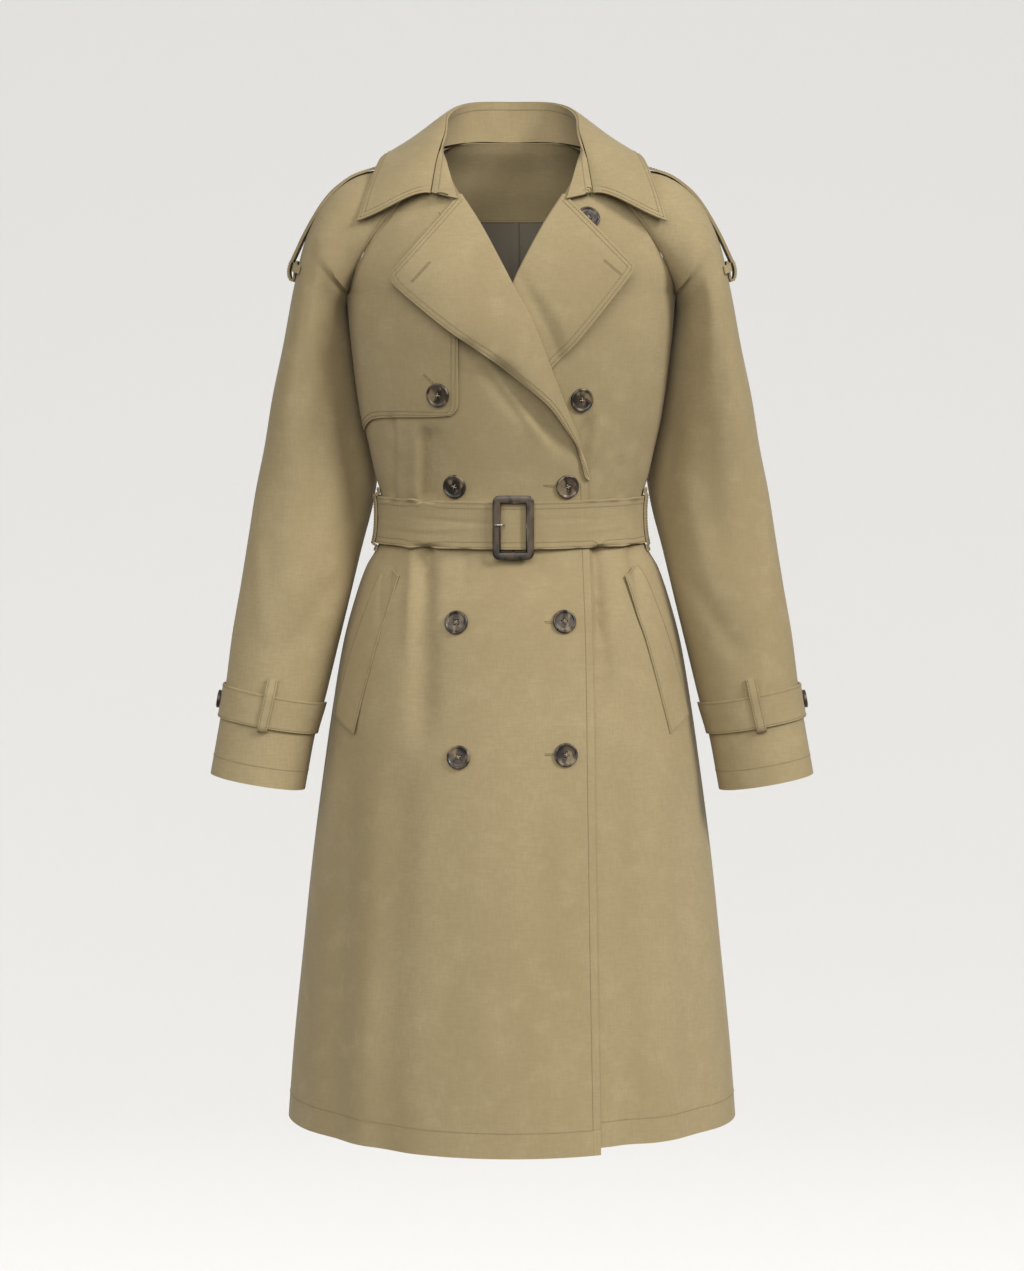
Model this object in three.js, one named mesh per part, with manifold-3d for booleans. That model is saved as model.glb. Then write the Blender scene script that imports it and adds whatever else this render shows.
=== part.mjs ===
// Double-breasted trench coat with raglan sleeves, worn form without a wearer, belted at the waist.
// Millimetres, +Z up, front towards -Y, the wearer's right towards -X.
// The origin lies between the shoulders at the height of the side of the neck, where the wearer carries
// the coat.
import * as THREE from "three";
import { mergeVertices } from "three/addons/utils/BufferGeometryUtils.js";
import Module from "manifold-3d";

const wasm = await Module();
wasm.setup();

// Cloth thicknesses and the clearances between layers
const CLOTH = 1.6;
const FOLDED_CLOTH = 2.2;
const LINING_CLOTH = 1.1;
const SEAM_GAP = 0.5;
const LAY_GAP = 0.8;

const HEM_Z = -1047;
const UNDERARM_Z = -134;

// Horizontal sections of the coat's body: half width, front depth and back depth at each height
const BODY = [
  { z: 33, half: 82, front: 44, back: 78 },
  { z: 18, half: 114, front: 50, back: 85 },
  { z: 2, half: 140, front: 57, back: 92 },
  { z: -20, half: 165, front: 69, back: 98 },
  { z: -43, half: 176, front: 80, back: 105 },
  { z: -67, half: 182, front: 92, back: 110 },
  { z: -88, half: 184, front: 102, back: 113 },
  { z: -110, half: 184, front: 111, back: 116 },
  { z: -134, half: 179, front: 118, back: 118 },
  { z: -176, half: 175, front: 124, back: 118 },
  { z: -221, half: 170, front: 122, back: 113 },
  { z: -266, half: 163.5, front: 116, back: 107 },
  { z: -300, half: 156, front: 110, back: 102 },
  { z: -328, half: 150, front: 105, back: 98 },
  { z: -350, half: 144, front: 103, back: 96 },
  { z: -378, half: 142.5, front: 103, back: 96 },
  { z: -406, half: 146.5, front: 105, back: 99 },
  { z: -430, half: 160, front: 112.5, back: 107.5 },
  { z: -467, half: 173, front: 126, back: 121 },
  { z: -512, half: 185, front: 136, back: 131 },
  { z: -578, half: 196.5, front: 146, back: 141 },
  { z: -660, half: 208.5, front: 156, back: 150 },
  { z: -756, half: 221, front: 166, back: 159 },
  { z: -860, half: 232, front: 175, back: 166 },
  { z: -958, half: 242, front: 183, back: 172 },
  { z: HEM_Z, half: 249, front: 189, back: 176 },
];

// Free edge of a front: front edge up to the belt, roll line of the lapel above it, then the neck seam
const FRONT_EDGE = [
  { z: 2, x: -71 },
  { z: -20, x: -60 },
  { z: -43, x: -46 },
  { z: -67, x: -31 },
  { z: -110, x: -8 },
  { z: -134, x: 4 },
  { z: -176, x: 25 },
  { z: -221, x: 42 },
  { z: -266, x: 61 },
  { z: -300, x: 73 },
  { z: -328, x: 80 },
  { z: -350, x: 81.5 },
  { z: -430, x: 84 },
  { z: -512, x: 86.5 },
  { z: -660, x: 88.5 },
  { z: -860, x: 91.5 },
  { z: HEM_Z, x: 95 },
];

// Raglan seams: distance of the seam from the middle of the coat at each height
const FRONT_SEAM = [
  { z: 2, x: 71 },
  { z: -20, x: 107 },
  { z: -43, x: 127 },
  { z: -67, x: 146 },
  { z: -88, x: 159 },
  { z: -110, x: 170 },
  { z: UNDERARM_Z, x: 179 },
];
const BACK_SEAM = [
  { z: 33, x: 62 },
  { z: 18, x: 86 },
  { z: 2, x: 108 },
  { z: -20, x: 128 },
  { z: -52, x: 149 },
  { z: -88, x: 165 },
  { z: UNDERARM_Z, x: 179 },
];

// How far the front underneath lies inside the one on top
const UNDERLAP = [
  { z: 33, inside: 0 },
  { z: -60, inside: 0 },
  { z: -100, inside: 3.4 },
  { z: -125, inside: 5.9 },
  { z: -266, inside: 5.9 },
  { z: -340, inside: 4.4 },
  { z: -600, inside: 4.2 },
  { z: HEM_Z, inside: 3.2 },
];
const UNDERLAP_FULL_TO = 95;
const UNDERLAP_GONE_AT = 160;

// Largest folds: a trough (depth below zero) or ridge from its upper to its lower end; side -1 front, +1 back
const FOLDS = [
  { side: -1, x0: -88, z0: -270, x1: -88, z1: -350, width: 13, depth: -5 },
  { side: -1, x0: -88, z0: -404, x1: -100, z1: -640, width: 15, depth: -7 },
  { side: -1, x0: 102, z0: -404, x1: 100, z1: -600, width: 13, depth: -5 },
  { side: -1, x0: -178, z0: -560, x1: -196, z1: HEM_Z, width: 22, depth: -6 },
  { side: -1, x0: -118, z0: -600, x1: -140, z1: HEM_Z, width: 22, depth: -5 },
  { side: -1, x0: 112, z0: -600, x1: 128, z1: HEM_Z, width: 20, depth: -6 },
  { side: -1, x0: 185, z0: -620, x1: 205, z1: HEM_Z, width: 22, depth: -5 },
  { side: 1, x0: 0, z0: -404, x1: 0, z1: HEM_Z, width: 24, depth: -7 },
  { side: 1, x0: -70, z0: -404, x1: -105, z1: HEM_Z, width: 22, depth: -7 },
  { side: 1, x0: 74, z0: -404, x1: 100, z1: HEM_Z, width: 22, depth: -7 },
  { side: 1, x0: -130, z0: -500, x1: -185, z1: HEM_Z, width: 22, depth: -6 },
  { side: 1, x0: 134, z0: -500, x1: 182, z1: HEM_Z, width: 22, depth: -6 },
  { side: 1, x0: -60, z0: -200, x1: -50, z1: -350, width: 16, depth: -5 },
  { side: 1, x0: 62, z0: -190, x1: 50, z1: -350, width: 16, depth: -5 },
];
const FOLD_END = 0.18;

// Value of a column of a table at a key, on a smooth curve through the rows
function along(rows, key, column, at) {
  const rising = rows[0][key] < rows[rows.length - 1][key];
  const list = rising ? rows : [...rows].reverse();
  const last = list.length - 1;
  if (at <= list[0][key]) return list[0][column];
  if (at >= list[last][key]) return list[last][column];
  let i = 0;
  while (list[i + 1][key] < at) i += 1;
  const slope = (j) => {
    const a = list[Math.max(0, j - 1)];
    const b = list[Math.min(last, j + 1)];
    return (b[column] - a[column]) / (b[key] - a[key]);
  };
  const span = list[i + 1][key] - list[i][key];
  const t = (at - list[i][key]) / span;
  const rise = list[i + 1][column] - list[i][column];
  const m0 = slope(i) * span - rise;
  const m1 = rise - slope(i + 1) * span;
  return list[i][column] + t * rise + t * (1 - t) * (m0 * (1 - t) + m1 * t);
}

function smooth(low, high, value) {
  const t = Math.min(1, Math.max(0, (value - low) / (high - low)));
  return t * t * (3 - 2 * t);
}

const half = (z) => along(BODY, "z", "half", z);
const frontDepth = (z) => along(BODY, "z", "front", z);
const backDepth = (z) => along(BODY, "z", "back", z);

// Height of the folds above the smooth form at a place on the front or back
function foldHeight(side, x, z) {
  let height = 0;
  for (const f of FOLDS) {
    const t = (z - f.z0) / (f.z1 - f.z0);
    if (f.side !== side || t <= 0) continue;
    const middle = f.x0 + (f.x1 - f.x0) * Math.min(1, t);
    const end = f.z1 <= HEM_Z ? 1 : 1 - smooth(1 - FOLD_END * 2, 1, t);
    const across = (x - middle) / f.width;
    height += f.depth * smooth(0, FOLD_END, t) * end * Math.exp(-across * across);
  }
  return height;
}

// Point on the coat's body at an angle from the middle of the front or back, moved out by a distance
function bodyPoint(side, angle, z, out) {
  const a = half(z);
  const b = side < 0 ? frontDepth(z) : backDepth(z);
  const normal = new THREE.Vector2(Math.sin(angle) / a, (side * Math.cos(angle)) / b).normalize();
  const x = a * Math.sin(angle);
  const lift = out + foldHeight(side, x, z);
  return new THREE.Vector3(x + lift * normal.x, side * b * Math.cos(angle) + lift * normal.y, z);
}

// The hem rises a little from the middle of the front and back to the side seams; the front underneath is
// shorter
const HEM_RISE = 8;
const HEM_RISE_FROM = 900;
const hemmed = (angle, z, full) => (
  z + HEM_RISE * (full ? 1 : Math.sin(angle) ** 2) * smooth(HEM_RISE_FROM, -HEM_Z, -z)
);

const angleAt = (x, z) => Math.asin(Math.max(-1, Math.min(1, x / half(z))));
const onBody = (side, x, z, out) => bodyPoint(side, angleAt(x, z), z, out);

// Thin solid from a grid of points on its outer face; rows from closedFrom on are tubes whose edges meet.
// edges gives, for the first and last column, the directions that the wall takes at a seam (null: its own
// normal).
function sheet(grid, wall, closedFrom = Infinity, edges = {}) {
  const rows = grid.length;
  const cols = grid[0].length;
  const positions = [];
  for (const row of grid) for (const p of row) positions.push(p.x, p.y, p.z);
  const pick = (j, i) => {
    const closed = j >= closedFrom;
    const wrapped = closed ? (i + cols - 1) % (cols - 1) : Math.min(cols - 1, Math.max(0, i));
    return grid[Math.min(rows - 1, Math.max(0, j))][wrapped];
  };
  for (let j = 0; j < rows; j += 1) {
    for (let i = 0; i < cols; i += 1) {
      const acrossRow = new THREE.Vector3().subVectors(pick(j, i + 1), pick(j, i - 1));
      const acrossCol = new THREE.Vector3().subVectors(pick(j + 1, i), pick(j - 1, i));
      const shared = (i === 0 && edges.first?.[j]) || (i === cols - 1 && edges.last?.[j]);
      const normal = shared || acrossRow.cross(acrossCol).normalize();
      const p = grid[j][i].clone().addScaledVector(normal, -wall);
      positions.push(p.x, p.y, p.z);
    }
  }
  const index = [];
  const at = (layer, j, i) => layer * rows * cols + j * cols + (j >= closedFrom && i === cols - 1 ? 0 : i);
  const quad = (a, b, c, d) => index.push(a, b, c, a, c, d);
  for (let j = 0; j < rows - 1; j += 1) {
    for (let i = 0; i < cols - 1; i += 1) {
      quad(at(0, j, i), at(0, j, i + 1), at(0, j + 1, i + 1), at(0, j + 1, i));
      quad(at(1, j, i), at(1, j + 1, i), at(1, j + 1, i + 1), at(1, j, i + 1));
    }
    if (j < closedFrom) {
      quad(at(0, j, 0), at(0, j + 1, 0), at(1, j + 1, 0), at(1, j, 0));
      const e = cols - 1;
      quad(at(0, j, e), at(1, j, e), at(1, j + 1, e), at(0, j + 1, e));
    }
  }
  for (let i = 0; i < cols - 1; i += 1) {
    const e = rows - 1;
    quad(at(0, 0, i), at(1, 0, i), at(1, 0, i + 1), at(0, 0, i + 1));
    quad(at(0, e, i), at(0, e, i + 1), at(1, e, i + 1), at(1, e, i));
  }
  const geometry = new THREE.BufferGeometry();
  geometry.setAttribute("position", new THREE.Float32BufferAttribute(positions, 3));
  geometry.setIndex(index);
  return geometry;
}

// Grid of points from a function of the two shares, 0 to 1, along the rows and the columns
function gridOf(rowShares, colCount, point) {
  return rowShares.map((v) => Array.from({ length: colCount + 1 }, (_, i) => point(i / colCount, v)));
}

const steps = (count) => Array.from({ length: count + 1 }, (_, i) => i / count);
const mix = (a, b, t) => a + (b - a) * t;
const mirrored = (grid) => grid.map((row) => row.map((p) => new THREE.Vector3(-p.x, p.y, p.z)).reverse());

const coat = new THREE.Group();
coat.name = "trench_coat";

const MATERIALS = {
  gabardine: { color: 0xa8966f, roughness: 0.85, metalness: 0 },
  lining: { color: 0x5f584b, roughness: 0.7, metalness: 0 },
  horn: { color: 0x3a2c22, roughness: 0.35, metalness: 0 },
  wire: { color: 0xb9b6ae, roughness: 0.35, metalness: 0.9 },
};

function add(name, material, geometry) {
  const mesh = new THREE.Mesh(geometry, new THREE.MeshStandardMaterial(MATERIALS[material]));
  mesh.name = name;
  coat.add(mesh);
  return mesh;
}

// Raglan sleeves: each section runs from the front seam (fx, fz) over the outer line (tx, ty, tz) to the back
// seam (bx, bz). Below the underarm both seams are one, on the inner line, at iy from front to back. front,
// back and cap are the handles' reach at the seams and the outer line; lean moves the first one towards the
// outer line.
const SLEEVE = [
  { fx: 71, fz: 2, bx: 62, bz: 33, tx: 80, ty: 6, tz: 23, front: 2, back: 2, cap: 18, lean: 0.3 },
  { fx: 107, fz: -20, bx: 86, bz: 18, tx: 112, ty: 5, tz: 12, front: 4, back: 4, cap: 26, lean: 0.3 },
  { fx: 127, fz: -43, bx: 108, bz: 2, tx: 140, ty: 3, tz: 3, front: 6, back: 6, cap: 33, lean: 0.3 },
  { fx: 146, fz: -67, bx: 128, bz: -20, tx: 168, ty: 2, tz: -3.5, front: 14, back: 8, cap: 42, lean: 0.25 },
  { fx: 159, fz: -88, bx: 149, bz: -52, tx: 192, ty: 0, tz: -19.5, front: 22, back: 14, cap: 52, lean: 0.2 },
  { fx: 170, fz: -110, bx: 165, bz: -88, tx: 211, ty: 0, tz: -43, front: 34, back: 28, cap: 64, lean: 0.15 },
  { fx: 181.2, fz: UNDERARM_Z, tx: 226, ty: 0, tz: -78, iy: 0, front: 84, back: 84, cap: 78, lean: 0.05 },
  { fx: 175, fz: -160, tx: 238, ty: 0, tz: -128, iy: 30, front: 106, back: 76, cap: 92, lean: 0.2 },
  { fx: 165, fz: -205, tx: 249.5, ty: 0, tz: -188, iy: 42, front: 114, back: 66, cap: 94, lean: 0.26 },
  { fx: 155, fz: -255, tx: 261.5, ty: -1, tz: -244, iy: 47, front: 114, back: 56, cap: 90, lean: 0.28 },
  { fx: 147, fz: -305, tx: 270.5, ty: -2, tz: -298, iy: 44, front: 108, back: 52, cap: 84, lean: 0.26 },
  { fx: 152, fz: -357, tx: 280.5, ty: -4, tz: -347, iy: 26, front: 92, back: 56, cap: 76, lean: 0.12 },
  { fx: 165.5, fz: -412, tx: 289, ty: -7, tz: -400, iy: 6, front: 76, back: 66, cap: 72, lean: 0.03 },
  { fx: 178, fz: -465, tx: 297.5, ty: -10, tz: -452, iy: -8, front: 69, back: 69, cap: 69, lean: 0 },
  { fx: 191, fz: -518, tx: 306.5, ty: -13, tz: -503, iy: -12, front: 66, back: 66, cap: 66, lean: 0 },
  { fx: 205.5, fz: -577, tx: 313.5, ty: -17, tz: -557, iy: -17, front: 63, back: 63, cap: 63, lean: 0 },
  { fx: 216, fz: -614, tx: 320, ty: -19, tz: -596, iy: -19, front: 61, back: 61, cap: 61, lean: 0 },
  { fx: 227, fz: -673, tx: 330.5, ty: -23, tz: -655, iy: -23, front: 60, back: 60, cap: 60, lean: 0 },
].map((row, at) => ({ bx: row.fx, bz: row.fz, iy: 0, ...row, at }));
const UNDERARM_ROW = 6;
const SLEEVE_COLUMNS = 16;

function bezier(p, t) {
  const s = 1 - t;
  const out = new THREE.Vector3();
  [s * s * s, 3 * s * s * t, 3 * s * t * t, t * t * t].forEach((w, k) => out.addScaledVector(p[k], w));
  return out;
}

// Point of the left sleeve at station v, share u of the way round from the front seam
function sleeveFormPoint(u, v) {
  const g = (column) => along(SLEEVE, "at", column, v);
  const closed = v >= UNDERARM_ROW;
  const isFront = u <= 0.5;
  const side = isFront ? -1 : 1;
  const top = new THREE.Vector3(g("tx"), g("ty"), g("tz"));
  let seam;
  if (closed) seam = new THREE.Vector3(g("fx"), g("iy"), g("fz"));
  else if (isFront) seam = onBody(-1, g("fx"), g("fz"), 0);
  else seam = onBody(1, g("bx"), g("bz"), 0);
  const reach = new THREE.Vector3(0, side * g(isFront ? "front" : "back"), 0);
  const near = seam.clone().lerp(top, g("lean")).setY(seam.y).add(reach);
  const far = top.clone().add(new THREE.Vector3(0, side * g("cap"), 0));
  return bezier([seam, near, far, top], isFront ? u * 2 : (1 - u) * 2);
}

// Steps along u and v over which the sleeve's face is taken as flat
const NEAR_U = 0.01;
const NEAR_V = 0.05;
function sleevePoint(u, v, out) {
  const p = sleeveFormPoint(u, v);
  if (out === 0) return p;
  const closed = v >= UNDERARM_ROW;
  const turn = (s) => (closed ? (s + 1) % 1 : Math.min(1, Math.max(0, s)));
  const a = sleeveFormPoint(turn(u + NEAR_U), v).sub(sleeveFormPoint(turn(u - NEAR_U), v));
  const b = sleeveFormPoint(u, v + NEAR_V).sub(sleeveFormPoint(u, v - NEAR_V));
  return p.addScaledVector(a.cross(b).normalize(), -out);
}
const sleeveGrid = SLEEVE.map((row) => Array.from({ length: SLEEVE_COLUMNS + 1 }, (_, i) => (
  sleevePoint(1 - i / SLEEVE_COLUMNS, row.at, 0)
)));

// Shared direction of the walls along a raglan seam of the left side, one for each height; none where the
// seam is a deep crease
const CREASE_LIMIT = 0.2;
function seamNormals(side, heights) {
  return heights.map((z) => {
    const row = SLEEVE.find((r) => r.at < UNDERARM_ROW && (side < 0 ? r.fz : r.bz) === z);
    if (!row) return null;
    const x = side < 0 ? row.fx : row.bx;
    const panel = onBody(side, x, z, 1).sub(onBody(side, x, z, 0)).normalize();
    const u = side < 0 ? 0 : 1;
    const sleeve = sleevePoint(u, row.at, 1).sub(sleevePoint(u, row.at, 0)).normalize();
    return panel.dot(sleeve) < CREASE_LIMIT ? null : panel.add(sleeve).normalize();
  });
}
const flipX = (list) => list.map((n) => n && new THREE.Vector3(-n.x, n.y, n.z));
const frontSeamWall = seamNormals(-1, SLEEVE.map((row) => row.fz));
const backSeamWall = seamNormals(1, SLEEVE.map((row) => row.bz));
const leftWalls = { first: backSeamWall, last: frontSeamWall };
const rightWalls = { first: flipX(frontSeamWall), last: flipX(backSeamWall) };
add("sleeve_left", "gabardine", sheet(sleeveGrid, CLOTH, UNDERARM_ROW, leftWalls));
add("sleeve_right", "gabardine", sheet(mirrored(sleeveGrid), CLOTH, UNDERARM_ROW, rightWalls));

// Fronts: from the free edge to the side seam, above the underarm to the raglan seam
const FRONT_COLUMNS = 14;
const frontHeights = BODY.filter((row) => row.z <= 2 && row.z !== 18).map((row) => row.z);

function frontOuterAngle(z) {
  if (z <= UNDERARM_Z) return Math.PI / 2 - SEAM_GAP / half(z);
  return angleAt(along(FRONT_SEAM, "z", "x", z) - SEAM_GAP, z);
}

function underlapDepth(x, z) {
  return along(UNDERLAP, "z", "inside", z) * (1 - smooth(UNDERLAP_FULL_TO, UNDERLAP_GONE_AT, x));
}

function frontGrid(isUnder) {
  return gridOf(frontHeights, FRONT_COLUMNS, (u, z) => {
    const inner = angleAt(along(FRONT_EDGE, "z", "x", z), z);
    const angle = mix(inner, -frontOuterAngle(z), u);
    const height = hemmed(angle, z, isUnder);
    if (!isUnder) return bodyPoint(-1, angle, height, 0);
    return bodyPoint(-1, -angle, height, -underlapDepth(-half(z) * Math.sin(angle), z));
  });
}
const frontWalls = seamNormals(-1, frontHeights);
add("front_right", "gabardine", sheet(frontGrid(false), CLOTH, Infinity, { last: flipX(frontWalls) }));
const underGrid = frontGrid(true).map((row) => row.reverse());
add("front_left", "gabardine", sheet(underGrid, CLOTH, Infinity, { first: frontWalls }));

// Back in one piece between the raglan seams and the side seams
const BACK_COLUMNS = 16;
const backHeights = [
  ...SLEEVE.filter((row) => row.at < UNDERARM_ROW).map((row) => row.bz),
  ...BODY.filter((row) => row.z <= UNDERARM_Z).map((row) => row.z),
];

function backOuterAngle(z) {
  if (z <= UNDERARM_Z) return Math.PI / 2 - SEAM_GAP / half(z);
  return angleAt(along(BACK_SEAM, "z", "x", z) - SEAM_GAP, z);
}
const backGrid = (heights, out, share = 1) => gridOf(heights, BACK_COLUMNS, (u, z) => {
  const angle = mix(-share, share, u) * backOuterAngle(z);
  return bodyPoint(1, angle, hemmed(angle, z, false), out);
});
const backWalls = seamNormals(1, backHeights);
add("back", "gabardine", sheet(backGrid(backHeights, 0), CLOTH, Infinity, {
  first: flipX(backWalls),
  last: backWalls,
}));

// Inside of the back: facing below the neck seam and the lining under it
const FACING_TOP = 31.5;
const FACING_BOTTOM = -52;
const LINING_BOTTOM = -958;
const FACING_SHARE = 0.95;
const SKIN_DEPTH = CLOTH + 1.2;
const FACING_DEPTH = SKIN_DEPTH + 0.5;
const facingHeights = [FACING_TOP, ...backHeights.filter((z) => z >= FACING_BOTTOM && z < FACING_TOP)];
add("back_neck_facing", "gabardine", sheet(
  backGrid(facingHeights, -FACING_DEPTH, FACING_SHARE),
  LINING_CLOTH,
));
const liningHeights = backHeights.filter((z) => z < FACING_BOTTOM && z >= LINING_BOTTOM);
add("back_lining", "lining", sheet(
  backGrid([FACING_BOTTOM - SEAM_GAP, ...liningHeights], -SKIN_DEPTH),
  LINING_CLOTH,
));

// Collar from the middle of the back to its front end: neck seam, seam between stand and fall, outer edge,
// and the handles that roll the fall over at its top and let it hang at its edge
const COLLAR = [
  { s: 0, nx: 0, ny: 79, nz: 34.5, tx: 0, ty: 87, tz: 80,
    ex: 0, ey: 104, ez: 2, cx: 0, cy: 9, cz: 5, dx: 0, dy: 2, dz: 42 },
  { s: 0.25, nx: 46, ny: 66, nz: 34.5, tx: 47, ty: 71, tz: 78,
    ex: 72, ey: 89, ez: 0, cx: 5, cy: 8, cz: 3, dx: 3, dy: 3, dz: 36 },
  { s: 0.5, nx: 80, ny: 10, nz: 26, tx: 69, ty: 18, tz: 64,
    ex: 130, ey: 40, ez: 13, cx: 9, cy: 3, cz: 0, dx: -16, dy: -6, dz: 19 },
  { s: 0.7, nx: 77, ny: -27, nz: 18, tx: 72, ty: -14, tz: 42,
    ex: 142, ey: -8, ez: 15.4, cx: 12, cy: -2, cz: 2, dx: -20, dy: 0, dz: 11 },
  { s: 0.85, nx: 70, ny: -52, nz: 4, tx: 79, ty: -46, tz: 15,
    ex: 155, ey: -44, ez: -18, cx: 16, cy: -6, cz: 4, dx: -22, dy: -6, dz: 12 },
  { s: 1, nx: 58, ny: -76, nz: -33, tx: 86, ty: -68, tz: -26,
    ex: 166, ey: -66, ez: -55, cx: 20, cy: -7, cz: 4, dx: -32, dy: -9, dz: 10 },
];
const COLLAR_COLUMNS = 24;
const STAND_ROWS = 3;
const FALL_ROWS = 6;
const STAND_BOW = 1.5;
const STAND_SHARE = 0.965;
const FALL_START = 1.9;
const collarRows = [
  ...COLLAR.slice(1).reverse().map((r) => (
    { ...r, s: -r.s, nx: -r.nx, tx: -r.tx, ex: -r.ex, cx: -r.cx, dx: -r.dx }
  )),
  ...COLLAR,
];

function collarVector(prefix, s) {
  const g = (axis) => along(collarRows, "s", prefix + axis, s);
  return new THREE.Vector3(g("x"), g("y"), g("z"));
}

function standPoint(s, w) {
  const p = collarVector("n", s).lerp(collarVector("t", s), w * STAND_SHARE);
  const bow = STAND_BOW * 4 * w * (1 - w);
  return p.addScaledVector(new THREE.Vector3(p.x, p.y, 0).normalize(), bow);
}

function fallPoint(s, w) {
  const turn = collarVector("c", s);
  const top = collarVector("t", s).addScaledVector(turn.clone().normalize(), FALL_START);
  const edge = collarVector("e", s);
  const crown = top.clone().add(turn);
  const drape = edge.clone().add(collarVector("d", s));
  return bezier([top, crown, drape, edge], w);
}
add("collar_stand", "gabardine", sheet(
  gridOf(steps(STAND_ROWS), COLLAR_COLUMNS, (u, w) => standPoint(mix(-1, 1, u), 1 - w)),
  FOLDED_CLOTH,
));
add("collar_fall", "gabardine", sheet(
  gridOf(steps(FALL_ROWS), COLLAR_COLUMNS, (u, w) => fallPoint(mix(-1, 1, u), w)),
  FOLDED_CLOTH,
));

// Places on the two fronts: the left one lies deeper where the right one covers it
const onRightFront = (x, z, out) => onBody(-1, x, z, out);
const onLeftFront = (x, z, out) => onBody(-1, x, z, out - underlapDepth(x, z));

// Lapels: leaves turned out from the roll line (rx, rz) to the outer edge (ex, ez), standing off the chest
const LAPEL_CLOTH = 1.8;
const LAPEL_RIGHT_COLUMNS = 5;
const LAPEL_LEFT_COLUMNS = 8;
const LAPEL_BASE = 3;
const LAPEL_RIGHT = [
  { rx: -56, rz: -27, ex: -123, ez: -112, stand: 12 },
  { rx: -35, rz: -60, ex: -118, ez: -124, stand: 13 },
  { rx: -13, rz: -101, ex: -88, ez: -152, stand: 12 },
  { rx: 2, rz: -130, ex: -58, ez: -177, stand: 11 },
  { rx: 19, rz: -161, ex: -23, ez: -202, stand: 9 },
  { rx: 37, rz: -207, ex: 6, ez: -225, stand: 7 },
  { rx: 53, rz: -248, ex: 36, ez: -251, stand: 5 },
  { rx: 67, rz: -281, ex: 55, ez: -276, stand: 3 },
  { rx: 76, rz: -309, ex: 70, ez: -300, stand: 1.5 },
  { rx: 80.5, rz: -332, ex: 77, ez: -329, stand: 0.5 },
];
const LAPEL_LEFT = [
  { rx: 56, rz: -27, ex: 124, ez: -103, stand: 12 },
  { rx: 35, rz: -60, ex: 120, ez: -114, stand: 13 },
  { rx: 13, rz: -101, ex: 95, ez: -149, stand: 12 },
  { rx: -1, rz: -130, ex: 71, ez: -181, stand: 8 },
  { rx: -8, rz: -141, ex: 57, ez: -197, stand: 5 },
  { rx: -14, rz: -152, ex: 41, ez: -214, stand: 3 },
];
// Under the right front the left lapel stays flat; past its roll line it may rise at this slope
const COVERED_OUT = -2.9;
const COVERED_MARGIN = 16;
const RISE_SLOPE = 0.5;
function lapelGrid(rows, columns, lift) {
  return rows.map((r) => Array.from({ length: columns + 1 }, (_, i) => {
    const u = i / columns;
    const x = mix(r.rx, r.ex, u);
    const z = mix(r.rz, r.ez, u);
    return onBody(-1, x, z, lift(x, z, LAPEL_BASE + r.stand * Math.sin((u * Math.PI) / 2)));
  }));
}
function leftLapelLift(x, z, stand) {
  const past = x - along(FRONT_EDGE, "z", "x", z) - COVERED_MARGIN;
  return Math.min(stand - underlapDepth(x, z), COVERED_OUT + Math.max(0, past) * RISE_SLOPE);
}
const rightLapel = lapelGrid(LAPEL_RIGHT, LAPEL_RIGHT_COLUMNS, (x, z, stand) => stand);
add("lapel_right", "gabardine", sheet(rightLapel, LAPEL_CLOTH));
const leftLapel = lapelGrid(LAPEL_LEFT, LAPEL_LEFT_COLUMNS, leftLapelLift);
add("lapel_left", "gabardine", sheet(leftLapel.map((row) => row.reverse()), LAPEL_CLOTH));

// Gun flap: a second layer on the right front, sewn into the raglan seam, loose at its front and lower edges
const FLAP_HEIGHTS = [-46, -67, -88, -110, -134, -176, -221];
const FLAP_LOWER_SHARES = [0.5, 0.8, 0.93, 1];
const FLAP_SIDE_ANGLE = (83 * Math.PI) / 180;
const FLAP_INSET = 6;
const FLAP_EDGE = [
  { z: -45, x: -84 },
  { z: -70, x: -66 },
  { z: -100, x: -58 },
  { z: -249, x: -56.5 },
  { z: -258, x: -59 },
  { z: -264, x: -66 },
];
const FLAP_BOTTOM = [
  { u: 0, z: -263 },
  { u: 0.12, z: -264.5 },
  { u: 0.45, z: -265.5 },
  { u: 0.7, z: -268 },
  { u: 0.85, z: -274 },
  { u: 1, z: -281 },
];
const FLAP_COLUMNS = 9;

function flapPoint(u, z, out) {
  const front = angleAt(along(FLAP_EDGE, "z", "x", z), z);
  const seam = z > UNDERARM_Z ? angleAt(along(FRONT_SEAM, "z", "x", z) - FLAP_INSET, z) : FLAP_SIDE_ANGLE;
  return bodyPoint(-1, mix(front, -Math.min(seam, FLAP_SIDE_ANGLE), u), z, out);
}
const FLAP_OUT = LAY_GAP + LAPEL_CLOTH;
const flapUpper = gridOf(FLAP_HEIGHTS, FLAP_COLUMNS, (u, z) => flapPoint(u, z, FLAP_OUT));
const flapLower = gridOf(FLAP_LOWER_SHARES, FLAP_COLUMNS, (u, share) => {
  const bottom = along(FLAP_BOTTOM, "u", "z", u);
  return flapPoint(u, mix(FLAP_HEIGHTS[FLAP_HEIGHTS.length - 1], bottom, share), FLAP_OUT);
});
add("gun_flap", "gabardine", sheet([...flapUpper, ...flapLower], LAPEL_CLOTH));

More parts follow.
